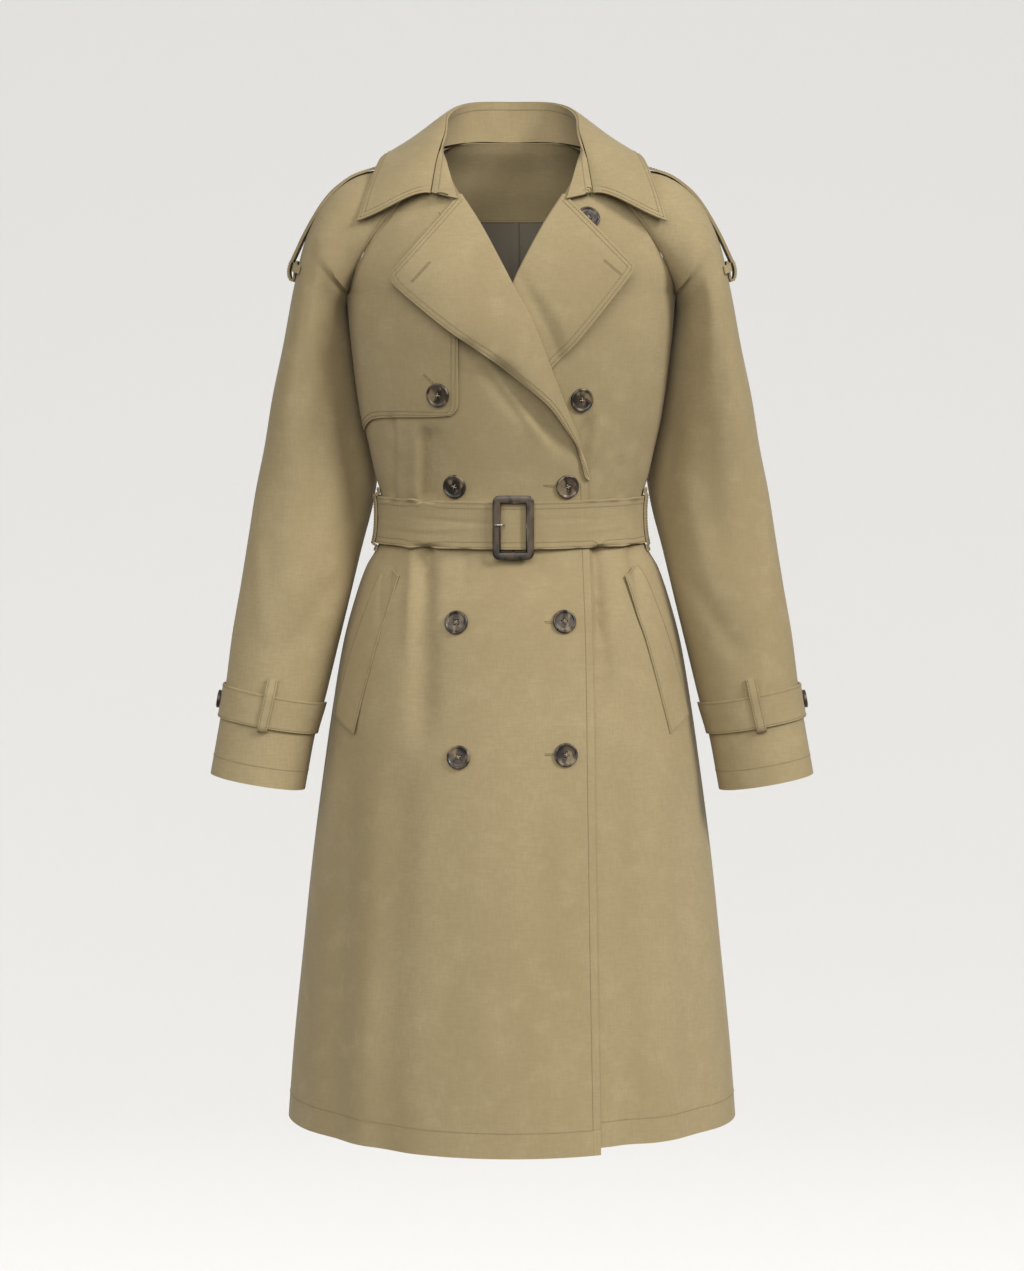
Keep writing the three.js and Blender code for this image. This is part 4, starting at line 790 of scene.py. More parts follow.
def stand_points(s, w):
    """Straight from the neck seam to the seam at the top, bowed out a little between them."""
    neck, top = collar_vectors(s)[:2]
    place = neck + (top - neck) * (w * STAND_SHARE)[..., None]
    level = place * np.array([1, 1, 0])
    level /= np.linalg.norm(level, axis=-1, keepdims=True)
    return place + level * (STAND_BOW * 4 * w * (1 - w))[..., None]


def fall_points(s, w):
    """Cubic curve from the top of the stand over the roll to the outer edge."""
    _, top, edge, roll, drape = collar_vectors(s)
    start = top + roll * (FALL_START / np.linalg.norm(roll, axis=-1, keepdims=True))
    return bezier((start, start + roll, edge + drape, edge), w)


collar_share = np.linspace(-1, 1, COLLAR_COLUMNS + 1)[None, :]
stand_share = 1 - np.linspace(0, 1, STAND_ROWS + 1)[:, None]
fall_share = np.linspace(0, 1, FALL_ROWS + 1)[:, None]
stand_grid = stand_points(*np.broadcast_arrays(collar_share, stand_share))
fall_grid = fall_points(*np.broadcast_arrays(collar_share, fall_share))
stand = cloth_piece(
    "cloth_collar_stand", stand_grid, FOLDED_CLOTH,
    [gabardine(f"collar_stand_{face}", near=[(1, STAND_STITCH)]) for face in ("face", "inside")],
    ["collar_stand"],
)
fall = cloth_piece(
    "cloth_collar_fall", fall_grid, FOLDED_CLOTH,
    [gabardine("collar_fall_face", near=[(0, d) for d in TWO_ROWS],
               far=[(0, d) for d in TWO_ROWS] + [(1, d) for d in TWO_ROWS])],
    ["collar_fall"],
)
stand_inner = stand_grid - facing_out(stand_grid) * FOLDED_CLOTH
inner_line, inner_normals = inset(stand_inner, "top", STAND_STITCH)
sew("thread_collar", [
    *((inset(fall_grid, "bottom", d), (d, d)) for d in TWO_ROWS),
    *((inset(fall_grid, "left", d), (10, d)) for d in TWO_ROWS),
    *((inset(fall_grid, "right", d), (10, d)) for d in TWO_ROWS),
    ((inner_line, -inner_normals), (6, 6)),
])


# Lapels: each front's facing and cloth turned back on the roll line. The leaf rolls round the front's edge
# from the inside and stands a little off the chest; its edge has two rows of stitching.
LAPEL_CLOTH = 1.8
LAPEL_BASE = 3
# roll line x, z; outer edge x, z; height of the outer edge off the chest
LAPEL_RIGHT = np.array([
    (-56, -27, -123, -112, 12), (-35, -60, -118, -124, 13), (-13, -101, -88, -152, 12),
    (2, -130, -58, -177, 11), (19, -161, -23, -202, 9), (37, -207, 6, -225, 7), (53, -248, 36, -251, 5),
    (67, -281, 55, -276, 3), (76, -309, 70, -300, 1.5), (80.5, -332, 77, -329, 0.5),
])
LAPEL_LEFT = np.array([
    (56, -27, 124, -103, 12), (35, -60, 120, -114, 13), (13, -101, 95, -149, 12), (-1, -130, 71, -181, 8),
    (-8, -141, 57, -197, 5), (-14, -152, 41, -214, 3),
])
COVERED_OUT, COVERED_MARGIN, RISE_SLOPE = -2.9, 16, 0.5
ROLL_RADIUS, ROLL_COLUMNS, LEAF_COLUMNS = 2.7, 9, 22


def lapel_points(rows, lift, sign):
    """Leaf from the roll line to the outer edge, its height the base plus its stand times a sine of the share.

    Before it comes the roll: a half turn round the front's edge, from under the cloth up to the leaf.
    """
    at = np.linspace(0, len(rows) - 1, 8 * (len(rows) - 1) + 1)[:, None]
    rx, rz, ex, ez, stand = (through(np.arange(len(rows)), column, at) for column in rows.T)
    u = np.linspace(0, 1, LEAF_COLUMNS + 1)
    x, z = rx + (ex - rx) * u, rz + (ez - rz) * u
    leaf = on_body(-1, x, z, lift(x, z, LAPEL_BASE + stand * np.sin(u * math.pi / 2)))
    turn = np.linspace(math.pi, 0, ROLL_COLUMNS + 1)[:-1]
    base = lift(rx, rz, LAPEL_BASE * np.ones_like(rx))
    middle = base - ROLL_RADIUS
    reach = ROLL_RADIUS * np.sin(turn) + 0 * rx
    roll = on_body(-1, rx + sign * reach, rz + 0 * turn, middle + ROLL_RADIUS * np.cos(turn))
    return np.concatenate([roll, leaf], axis=1)


def right_lift(x, z, stand):
    """The right lapel's height is its stand."""
    return stand


def left_lift(x, z, stand):
    """The left lapel stays under the right front and rises at a slope once past its roll line."""
    past = x - through(FRONT_EDGE[:, 0], FRONT_EDGE[:, 1], z) - COVERED_MARGIN
    return np.minimum(stand - underlap_depth(x, z), COVERED_OUT + np.maximum(0, past) * RISE_SLOPE)


lapel_right_points = lapel_points(LAPEL_RIGHT, right_lift, 1)
lapel_left_points = lapel_points(LAPEL_LEFT, left_lift, -1)[:, ::-1]
edges = [(0, d) for d in TWO_ROWS]
tips = [(1, d) for d in TWO_ROWS]
lapel_right = cloth_piece(
    "cloth_lapel_right", lapel_right_points, LAPEL_CLOTH,
    [gabardine("lapel_right_face", near=tips, far=edges)], ["lapel_right"],
)
lapel_left = cloth_piece(
    "cloth_lapel_left", lapel_left_points, LAPEL_CLOTH, [gabardine("lapel_left_face", near=edges + tips)],
    ["lapel_left"],
)
sew("thread_lapels", [
    *((inset(lapel_right_points, "right", d), (d, 4)) for d in TWO_ROWS),
    *((inset(lapel_right_points, "top", d), (10, d)) for d in TWO_ROWS),
    *((inset(lapel_left_points, "left", d), (d, 4)) for d in TWO_ROWS),
    *((inset(lapel_left_points, "top", d), (d, 10)) for d in TWO_ROWS),
])


# Gun flap: a second layer on the right front, sewn into the raglan seam and stitched along its loose edges.
LAY_GAP = 0.8
FLAP_SIDE_ANGLE = math.radians(83)
FLAP_INSET = 6
FLAP_EDGE = np.array([(-45, -70), (-70, -62), (-100, -58), (-249, -56.5), (-258, -59), (-264, -66)])
FLAP_BOTTOM = np.array([(0, -263), (0.12, -264.5), (0.45, -265.5), (0.7, -268), (0.85, -274), (1, -281)])
FLAP_TOP, FLAP_STRAIGHT_TO = -46, -221
FLAP_COLUMNS, FLAP_SPACING, FLAP_LOWER_ROWS = 48, 5, 14
FLAP_OUT = LAY_GAP + LAPEL_CLOTH


def flap_points(u, z):
    """Angles shared out from the flap's front edge to the raglan seam or the side."""
    front = angle_at(through(FLAP_EDGE[:, 0], FLAP_EDGE[:, 1], z), z)
    raglan = angle_at(through(FRONT_SEAM[:, 0], FRONT_SEAM[:, 1], z) - FLAP_INSET, z)
    seam = np.minimum(np.where(z > UNDERARM_Z, raglan, FLAP_SIDE_ANGLE), FLAP_SIDE_ANGLE)
    return body_point(-1, front + (-seam - front) * u, z, FLAP_OUT)


flap_u = np.linspace(0, 1, FLAP_COLUMNS + 1)[None, :]
flap_bottom = through(FLAP_BOTTOM[:, 0], FLAP_BOTTOM[:, 1], flap_u)
upper_z = heights([FLAP_TOP, UNDERARM_Z, FLAP_STRAIGHT_TO], FLAP_SPACING)[:, None] + 0 * flap_u
flap_fall = np.linspace(0, 1, FLAP_LOWER_ROWS + 1)[1:, None]
lower_z = FLAP_STRAIGHT_TO + (flap_bottom - FLAP_STRAIGHT_TO) * flap_fall
flap_grid = flap_points(flap_u, np.concatenate([upper_z, lower_z]))
flap_edges = [(0, d) for d in TWO_ROWS]
gun_flap = cloth_piece(
    "cloth_gun_flap", flap_grid, LAPEL_CLOTH,
    [gabardine("gun_flap_face", near=flap_edges, far=[(1, d) for d in TWO_ROWS])], ["gun_flap"],
)
sew("thread_gun_flap", [
    *((inset(flap_grid, "left", d), (0, d)) for d in TWO_ROWS),
    *((inset(flap_grid, "bottom", d), (d, 2)) for d in TWO_ROWS),
])


# Pocket welts: narrow slanted strips of doubled cloth that stand over the openings in the skirt, stitched
# round.
WELT = np.array([(0, 48, -435, 61.5, -423), (0.5, 52.5, -520, 68, -506), (1, 58, -606, 76, -589)])
WELT_CLOTH = 1.4
WELT_OUT = (1.5, 1.6)
WELT_STITCH, WELT_COLUMNS, WELT_ROWS = 2.0, 12, 48


def welt_points(u, s):
    """Corners' angles and heights along the welt, shared out across it."""
    front_angle, front_z, back_angle, back_z = (through(WELT[:, 0], column, s) for column in WELT[:, 1:].T)
    z = front_z + (back_z - front_z) * u
    angle = np.radians(front_angle + (back_angle - front_angle) * u)
    out = WELT_OUT[0] + (WELT_OUT[1] - WELT_OUT[0]) * (1 - u)
    return on_body(-1, half_width(z) * np.sin(angle), z, out)


welt_across = 1 - np.linspace(0, 1, WELT_COLUMNS + 1)[None, :]
welt_down = np.linspace(0, 1, WELT_ROWS + 1)[:, None]
all_round = [(1, WELT_STITCH), (0, WELT_STITCH)]
for word, points in both_sides(welt_points(welt_across, welt_down)):
    welt = cloth_piece(
        f"cloth_pocket_welt_{word}", points, WELT_CLOTH,
        [gabardine(f"welt_{word}_face", near=all_round, far=all_round)], [f"pocket_welt_{word}"],
    )
    welt_edges = ("left", "right", "top", "bottom")
    sew(f"thread_welt_{word}", [(inset(points, edge, WELT_STITCH), (3, 3)) for edge in welt_edges])


# Belt: one long strap of doubled gabardine with rows of stitching, which goes round the waist from under
# the buckle, through the buckle and on over itself to the wearer's right side. Two loops at the side seams
# carry it.
BELT_TOP, BELT_BOTTOM, BELT_DIP = -352.3, -403, 2
BELT_OUT = LAY_GAP + FOLDED_CLOTH
BELT_SECOND_OUT = BELT_OUT + LAY_GAP + FOLDED_CLOTH
BELT_START, BELT_END = 3, 462
BELT_STITCHES = (EDGE_STITCH, 7.5)
BELT_COLUMNS, BELT_ROWS = 459, 28
CLIMB_FROM, CLIMB_TO, FULL_TURN = 325, 350, 360
BAR_RISE, BAR_FLAT, BAR_REACH = 1.4, 2, 7
# angle of the middle and reach in degrees, height, slant in mm per degree, width, height off the belt
WRINKLES = np.array([
    (385, 22, -374, 0.10, 2.2, -0.7), (392, 16, -383, -0.12, 2.4, 0.6), (410, 18, -388, 0.08, 2.6, -0.6),
    (336, 16, -372, 0.06, 2.4, -0.5), (318, 14, -384, -0.10, 2.4, 0.5), (440, 20, -377, -0.06, 2.4, -0.5),
    (60, 20, -372, 0.05, 2.6, -0.6), (130, 26, -384, -0.05, 2.8, 0.6), (200, 30, -373, 0.04, 2.8, -0.6),
])


def waist_points(turn, z, out):
    """Body at an angle in degrees from the middle of the front towards the wearer's right."""
    turn, z, out = np.broadcast_arrays(turn, z, out)
    full = np.radians(turn % FULL_TURN)
    signed = np.where(full > math.pi, full - 2 * math.pi, full)
    front = body_point(-1, -signed, z, out)
    behind = body_point(1, full - math.pi, z, out)
    return np.where((np.abs(signed) <= math.pi / 2)[..., None], front, behind)


def belt_out(turn, z):
    """Height of the belt off the cloth: it climbs on to its own start, and over the bar of the buckle.

    Each wrinkle is a bell across a slanting line and another along it.
    """
    over_bar = BAR_RISE * (1 - ramp(BAR_FLAT, BAR_REACH, np.abs(turn - FULL_TURN)))
    out = BELT_OUT + (BELT_SECOND_OUT - BELT_OUT) * ramp(CLIMB_FROM, CLIMB_TO, turn) + over_bar
    for middle, reach, height, slant, width, rise in WRINKLES:
        away = turn - middle
        out = out + rise * np.exp(-((away / reach) ** 2) - ((z - height - slant * away) / width) ** 2)
    return out


belt_turn = np.linspace(BELT_START, BELT_END, BELT_COLUMNS + 1)[None, :]
belt_rows = np.linspace(BELT_TOP, BELT_BOTTOM, BELT_ROWS + 1)[:, None]
dip = BELT_DIP * np.maximum(0, np.cos(np.radians(belt_turn))) ** 2
belt_grid = waist_points(belt_turn, belt_rows - dip, belt_out(belt_turn, belt_rows))
belt_rows_near = [(1, d) for d in BELT_STITCHES]
belt = cloth_piece(
    "cloth_belt", belt_grid, FOLDED_CLOTH,
    [gabardine("belt_face", near=belt_rows_near, far=belt_rows_near + [(0, BELT_STITCHES[0])])], ["belt"],
)
sew("thread_belt", [
    *((inset(belt_grid, "top", d), (2, d)) for d in BELT_STITCHES),
    *((inset(belt_grid, "bottom", d), (2, d)) for d in BELT_STITCHES),
    (inset(belt_grid, "right", BELT_STITCHES[0]), (2, 2)),
])

LOOP_CLOTH, LOOP_TURN = 2, 83
LOOP_OUT = 1 + LOOP_CLOTH
LOOP_REACH, LOOP_STITCH = 3.2, 2
LOOP_OVER, LOOP_BEND, LOOP_END, LOOP_BEND_RISE = 1, 4, 9, 0.4
LOOPS = (("right", LOOP_TURN, BELT_SECOND_OUT), ("left", FULL_TURN - LOOP_TURN, BELT_OUT))
for word, turn, belt_face in LOOPS:
    over = belt_face + LAY_GAP + LOOP_CLOTH
    lower_half = ((LOOP_OVER, over), (LOOP_BEND, LOOP_OUT + LOOP_BEND_RISE), (LOOP_END, LOOP_OUT))
    profile = np.array([
        *((BELT_TOP + past, out) for past, out in lower_half[::-1]),
        *((BELT_BOTTOM - past, out) for past, out in lower_half),
    ])
    share = np.linspace(0, 5, 31)
    z, out = (np.interp(share, np.arange(6), column)[:, None] for column in profile.T)
    points = waist_points(turn + np.linspace(-LOOP_REACH, LOOP_REACH, 7)[None, :], z, out)
    loop = cloth_piece(
        f"cloth_belt_loop_{word}", points, LOOP_CLOTH,
        [gabardine(f"belt_loop_{word}_face", near=[(0, LOOP_STITCH)], far=[(0, LOOP_STITCH)])],
        [f"belt_loop_{word}"],
    )
    loop_edges = ("left", "right")
    sew(f"thread_belt_loop_{word}", [(inset(points, edge, LOOP_STITCH), (1, 1)) for edge in loop_edges])


# Buckle: a rounded rectangular frame of imitation tortoiseshell with a bar behind the belt, and a wire
# prong that comes through the belt and lies on the frame's side.
BUCKLE_X, BUCKLE_Z = 1.4, -381.6
BUCKLE_WIDTH, BUCKLE_HEIGHT, BUCKLE_SIDE, BUCKLE_END = 44.2, 68.5, 8.6, 8.6
BUCKLE_THICK, BUCKLE_CORNER = 4, 3
BUCKLE_OUT = BELT_SECOND_OUT + 2.2
BUCKLE_CORNER_POINTS, BUCKLE_ROUND_POINTS, OVAL_POWER = 13, 24, 0.62
BAR_PATH = np.array([
    (0, 29.8, 1), (0, 29.8, -3), (0, 29.0, -4.1), (0, -27.0, -4.1), (0, -27.6, -3), (0, -27.6, 1),
])
BAR_RADIUS, PRONG_RADIUS, PRONG_TIP, PRONG_FULL = 1.2, 1.1, 0.35, 3.0
PRONG_PATH = np.array([(-20.5, 3, 5.5), (-13.5, 3, 5.5), (-9.5, 3, 1.8)])
HORN_DARK, HORN_BROWN, HORN_AMBER = (0.014, 0.010, 0.007), (0.075, 0.050, 0.030), (0.40, 0.30, 0.17)


def smooth_piece(name, points, finish, closed_rows=False, caps=True):
    """Closed skin from a grid of points in millimetres: its columns run round, its rows along, its ends capped."""
    rows, cols = points.shape[:2]
    number = np.arange(rows * cols).reshape(rows, cols)
    wide = np.concatenate([number, number[:, :1]], axis=1)
    if closed_rows:
        wide = np.concatenate([wide, wide[:1]], axis=0)
    faces = cells(wide).tolist()
    if caps and not closed_rows:
        faces += [number[0, ::-1].tolist(), number[-1].tolist()]
    mesh = bpy.data.meshes.new(name)
    mesh.from_pydata(points.reshape(-1, 3) * MM, [], faces)
    mesh.polygons.foreach_set("use_smooth", np.ones(len(mesh.polygons), bool))
    mesh.materials.append(finish)
    piece = bpy.data.objects.new(name, mesh)
    bpy.context.collection.objects.link(piece)
    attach(piece, "root")
    return piece


def tube(path, radius, sides=12):
    """Circle carried along a path, its frame kept level with the path's own bend."""
    tangent = np.gradient(path, axis=0)
    tangent /= np.linalg.norm(tangent, axis=1, keepdims=True)
    level = np.cross(tangent, np.array([0.31, 0.27, 0.91]))
    level /= np.linalg.norm(level, axis=1, keepdims=True)
    rise = np.cross(tangent, level)
    turn = np.arange(sides) * 2 * math.pi / sides
    ring = level[:, None] * np.cos(turn)[:, None] + rise[:, None] * np.sin(turn)[:, None]
    return path[:, None] + ring * np.reshape(radius, (-1, 1, 1))


def bent(points, count):
    """Smooth curve through given points, at count places."""
    points = np.asarray(points, float)
    at = np.linspace(0, len(points) - 1, count)
    return np.stack([through(np.arange(len(points)), column, at) for column in points.T], -1)


def horn_finish(name, streak_scale, amber=0.0):
    """Imitation horn or tortoiseshell: dark brown with paler streaks, under a thin satin gloss."""
    finish = Finish(name)
    drawn_out = finish.place((1, 0.6, 0.35))
    inputs = {"Vector": drawn_out, "Scale": streak_scale, "Detail": 2.0, "Distortion": 1.8}
    wave = finish.node("ShaderNodeTexNoise", {}, inputs)
    fine = finish.noise(finish.place((1.5, 1, 1)), streak_scale * 1.3, 1.0)
    colour = finish.mix(wave.step(0.40, 0.62), HORN_DARK, HORN_BROWN)
    colour = finish.mix(fine.step(0.50, 0.68) * amber, colour, HORN_AMBER)
    return finish.shade(
        Base_Color=colour,
        Roughness=0.34 + fine * 0.12,
        Normal=finish.relief(fine, 0.0002, 0.15),
        Coat_Weight=0.3,
        Coat_Roughness=0.2,
    )


def buckle_frame(turn):
    """Rounded rectangle along the middle of the frame's band, with a flattened oval carried along it."""
    quarter = np.linspace(0, math.pi / 2, BUCKLE_CORNER_POINTS)
    angle = (np.arange(4)[:, None] * math.pi / 2 + quarter).ravel()
    nx, nz = np.cos(angle), np.sin(angle)
    reach_x = (BUCKLE_WIDTH - BUCKLE_SIDE) / 2 - BUCKLE_CORNER
    reach_z = (BUCKLE_HEIGHT - BUCKLE_END) / 2 - BUCKLE_CORNER
    corner_x = np.repeat([1, -1, -1, 1], BUCKLE_CORNER_POINTS) * reach_x
    corner_z = np.repeat([1, 1, -1, -1], BUCKLE_CORNER_POINTS) * reach_z
    flat = np.stack([corner_x + BUCKLE_CORNER * nx, corner_z + BUCKLE_CORNER * nz, 0 * nx], -1)[:, None]
    normal = np.stack([nx, nz, 0 * nx], -1)[:, None]
    band = (BUCKLE_SIDE * nx ** 2 + BUCKLE_END * nz ** 2) / 2
    across = np.sign(np.cos(turn)) * np.abs(np.cos(turn)) ** OVAL_POWER
    rise = np.sign(np.sin(turn)) * np.abs(np.sin(turn)) ** OVAL_POWER
    up = np.array([0, 0, BUCKLE_THICK / 2])
    return flat + normal * (band[:, None] * across)[..., None] + up * (1 + rise)[None, :, None]


def depth_in_front(z):
    """Depth of the body in front at a height."""
    return through(BODY[:, 0], BODY[:, 2], z)


buckle_tilt = math.atan2(depth_in_front(BELT_BOTTOM) - depth_in_front(BELT_TOP), BELT_TOP - BELT_BOTTOM)


def on_buckle(points):
    """From the buckle drawn flat, its front towards +Z, to its place on the belt."""
    turn = math.pi / 2 - buckle_tilt
    x, y, z = np.moveaxis(points, -1, 0)
    place = np.array([BUCKLE_X, -depth_in_front(BUCKLE_Z) - BUCKLE_OUT, BUCKLE_Z])
    turned = [x, y * math.cos(turn) - z * math.sin(turn), y * math.sin(turn) + z * math.cos(turn)]
    return np.stack(turned, -1) + place


shell = horn_finish("buckle_tortoiseshell", 38.0, 0.10)
frame_grid = buckle_frame(np.arange(BUCKLE_ROUND_POINTS) * 2 * math.pi / BUCKLE_ROUND_POINTS)
buckle = smooth_piece("horn_buckle", on_buckle(frame_grid), shell, closed_rows=True)
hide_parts("buckle")
smooth_piece("horn_buckle_bar", on_buckle(tube(bent(BAR_PATH, 41), BAR_RADIUS)), shell)


def metal_finish(name, colour, roughness):
    """Drawn wire: fine lines along it and a slightly dulled face."""
    finish = Finish(name)
    lines = finish.noise(finish.place((1, 1, 6)), 900.0, 2.0)
    return finish.shade(
        Base_Color=finish.mix(lines.step(0.3, 0.7), colour, tuple(0.75 * c for c in colour)),
        Roughness=roughness + lines * 0.15,
        Normal=finish.relief(lines, 0.0001, 0.2),
        Metallic=1.0,
    )


wire = metal_finish("nickel_wire", (0.62, 0.60, 0.55), 0.25)
prong_radius = PRONG_RADIUS * np.clip(np.linspace(PRONG_TIP, PRONG_FULL, 25), 0, 1)
prong = smooth_piece("wire_buckle_prong", on_buckle(tube(bent(PRONG_PATH, 25), prong_radius)), wire)
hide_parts("buckle_prong")


# Epaulettes: straps of doubled cloth that lie along the tops of the sleeves, buttoned beside the collar;
# the outer end is folded under and held by a keeper, a narrow band sewn to the sleeve.
EPAULETTE = np.array([
    (122, 12.2, 9), (132, 8.9, 16), (150, 4.2, 17.5), (174, -4.2, 18), (193, -17.2, 18.5),
    (206, -31.5, 19), (218, -50, 20), (228, -68, 20.5), (235.6, -84, 21), (241.5, -97, 21),
    (244, -107, 21), (243, -115, 21), (239.5, -118.5, 21), (236.3, -115.5, 21), (235, -108, 21),
    (232.8, -97, 21),
])
EPAULETTE_DROOP, EPAULETTE_BACK_RISE, DROOP_ASIDE, DROOP_DOWN = 2.4, 1.2, 0.6, 0.8
EPAULETTE_FOLD_ROW, EPAULETTE_FLAT_FROM, EPAULETTE_FLAT_TO, FOLDED_DROOP = 9, 3, 4, 0.4
strap_at = np.linspace(0, len(EPAULETTE) - 1, 8 * (len(EPAULETTE) - 1) + 1)[:, None]
epaulette_rows = np.arange(len(EPAULETTE))
strap_x, strap_z, strap_reach = (through(epaulette_rows, column, strap_at) for column in EPAULETTE.T)
strap_across = np.linspace(1, -1, 17)[None, :]
on_shoulder = np.where(strap_at < EPAULETTE_FOLD_ROW, 1, FOLDED_DROOP)
by_collar = 1 - ramp(EPAULETTE_FLAT_FROM, EPAULETTE_FLAT_TO, strap_at)
droop = EPAULETTE_DROOP * on_shoulder * strap_across ** 2 * (1 - by_collar)
droop = droop - EPAULETTE_BACK_RISE * strap_across * by_collar
epaulette_left = np.stack([
    strap_x - droop * DROOP_ASIDE, strap_reach * strap_across, strap_z - droop * DROOP_DOWN,
], -1)
KEEPER_FROM, KEEPER_TO, KEEPER_REACH, KEEPER_FLAT = 6.46, 6.64, 0.1, 0.068
KEEPER_CLOTH, KEEPER_OVER, KEEPER_STITCH = 1.4, 6.1, 1.6
keeper_around = np.linspace(KEEPER_REACH, -KEEPER_REACH, 33)[None, :]
keeper_fall = ramp(KEEPER_FLAT, KEEPER_REACH, np.abs(keeper_around))
keeper_out = KEEPER_OVER + (LAY_GAP + KEEPER_CLOTH - KEEPER_OVER) * keeper_fall
keeper_left = sleeve_point(0.5 + keeper_around, np.linspace(KEEPER_FROM, KEEPER_TO, 5)[:, None], keeper_out)
for (word, points), (_, band) in zip(both_sides(epaulette_left), both_sides(keeper_left)):
    side_row = [(0, EDGE_STITCH)]
    epaulette = cloth_piece(
        f"cloth_epaulette_{word}", points, FOLDED_CLOTH,
        [gabardine(f"epaulette_{word}_face", near=[*side_row, (1, EDGE_STITCH)], far=side_row)],
        [f"epaulette_{word}"],
    )
    keeper = cloth_piece(
        f"cloth_keeper_{word}", band, KEEPER_CLOTH,
        [gabardine(f"keeper_{word}_face", near=[(1, KEEPER_STITCH)])], [f"keeper_{word}"],
    )
    strap_edges = ("left", "right", "top")
    sew(f"thread_epaulette_{word}", [(inset(points, edge, EDGE_STITCH), (3, 3)) for edge in strap_edges])


# Cuff straps: each goes from the inner seam round the front of the sleeve to a button on the outer side,
# through a narrow loop that stands over it.
CUFF_TOP, CUFF_BOTTOM, CUFF_START, CUFF_END, CUFF_TAB = 15, 15.94, 0.01, 0.64, 0.035
CUFF_OUT = 0.9 + FOLDED_CLOTH
CUFF_LOOP_AT, CUFF_LOOP_REACH, CUFF_LOOP_STITCH = 0.258, 0.016, 1.8
CUFF_LOOP_ABOVE, CUFF_LOOP_PAST, CUFF_LOOP_BELOW = 0.36, 0.05, 0.1
cuff_u, cuff_w = np.broadcast_arrays(np.linspace(0, 1, 121)[None, :], np.linspace(0, 1, 15)[:, None])
cuff_tab = CUFF_TAB * (1 - 4 * cuff_w * (1 - cuff_w)) * ramp(0.8, 1, 1 - cuff_u)
cuff_around = CUFF_END - cuff_tab + (CUFF_START - CUFF_END + cuff_tab) * cuff_u
cuff_left = sleeve_point(cuff_around, CUFF_TOP + (CUFF_BOTTOM - CUFF_TOP) * cuff_w, CUFF_OUT)
on_sleeve = LAY_GAP + LOOP_CLOTH
on_strap = CUFF_OUT + on_sleeve
loop_profile = np.array([
    (CUFF_TOP - CUFF_LOOP_ABOVE, on_sleeve), (CUFF_TOP - CUFF_LOOP_PAST, on_strap),
    (CUFF_BOTTOM + CUFF_LOOP_PAST, on_strap), (CUFF_BOTTOM + CUFF_LOOP_BELOW, on_sleeve),
])
loop_share = np.linspace(0, 3, 25)
loop_v, loop_out = (np.interp(loop_share, np.arange(4), column)[:, None] for column in loop_profile.T)
loop_around = CUFF_LOOP_AT + np.linspace(1, -1, 7)[None, :] * CUFF_LOOP_REACH
cuff_loop_left = sleeve_point(loop_around, loop_v, loop_out)
for (word, points), (_, band) in zip(both_sides(cuff_left), both_sides(cuff_loop_left)):
    strap_rows, loop_rows = [(1, EDGE_STITCH)], [(0, CUFF_LOOP_STITCH)]
    strap = cloth_piece(
        f"cloth_cuff_strap_{word}", points, FOLDED_CLOTH,
        [gabardine(f"cuff_strap_{word}_face", near=strap_rows, far=strap_rows)], [f"cuff_strap_{word}"],
    )
    loop = cloth_piece(
        f"cloth_cuff_loop_{word}", band, LOOP_CLOTH,
        [gabardine(f"cuff_loop_{word}_face", near=loop_rows, far=loop_rows)], [f"cuff_loop_{word}"],
    )
    sew(f"thread_cuff_{word}", [
        *((inset(points, edge, EDGE_STITCH), (3, 3)) for edge in ("top", "bottom", word)),
        *((inset(band, edge, CUFF_LOOP_STITCH), (1, 1)) for edge in ("left", "right")),
    ])


# Buttons: turned horn discs with a raised rim and a dished middle, sewn on with thread through four holes.
BUTTON_RADIUS, SMALL_BUTTON, SHOULDER_BUTTON = 12.7, 10, 9
BUTTON_LIFT = 0.3
HOLE_RADIUS, HOLE_AT, PIT_DEPTH, UPPER_FACE_ROW = 1.15, 2.7, 1.4, 8
THREAD_LIFT, THREAD_CROSSING, THREAD_BOW, THREAD_SINK, SHANK_RADIUS = 2.2, 0.25, 0.75, 0.9, 0.42
BUTTON_PROFILE = np.array([
    (0, 0), (0.90, 0), (0.97, 0.5), (1, 1.5), (0.99, 2.4), (0.95, 3.0), (0.89, 3.3), (0.83, 3.1),
    (0.77, 2.5), (0.70, 2.15), (0.5, 2.05), (0.3, 2.1), (0, 2.1),
])
button_horn = horn_finish("button_horn", 62.0, 0.45)
# The button thread's paler colour is painted highlight, like that of the topstitching.
button_thread = thread_finish("button_thread", (0.33, 0.27, 0.16), (0.42, 0.35, 0.22))


def button_points(radius):
    """Profile turned round the axis, with a smooth pit at each of the four holes on its upper face."""
    share = np.linspace(0, len(BUTTON_PROFILE) - 1, 97)
    turn = np.arange(72) * 2 * math.pi / 72
    r, z = (through(np.arange(len(BUTTON_PROFILE)), column, share)[:, None] for column in BUTTON_PROFILE.T)
    r = np.maximum(r, 0.0005) * radius
    x, y = r * np.cos(turn), r * np.sin(turn)
    away = np.hypot(np.abs(x) - HOLE_AT / math.sqrt(2), np.abs(y) - HOLE_AT / math.sqrt(2))
    on_face = share[:, None] > UPPER_FACE_ROW
    pit = np.where(on_face, PIT_DEPTH * (1 - ramp(HOLE_RADIUS * 0.7, HOLE_RADIUS * 1.1, away)), 0)
    return np.stack([x, y, z - pit], -1)


def place_on(across, up, normal, centre, points):
    """Points drawn on the level plane, taken to a place given by its three directions."""
    return centre + points[..., :1] * across + points[..., 1:2] * up + points[..., 2:] * normal


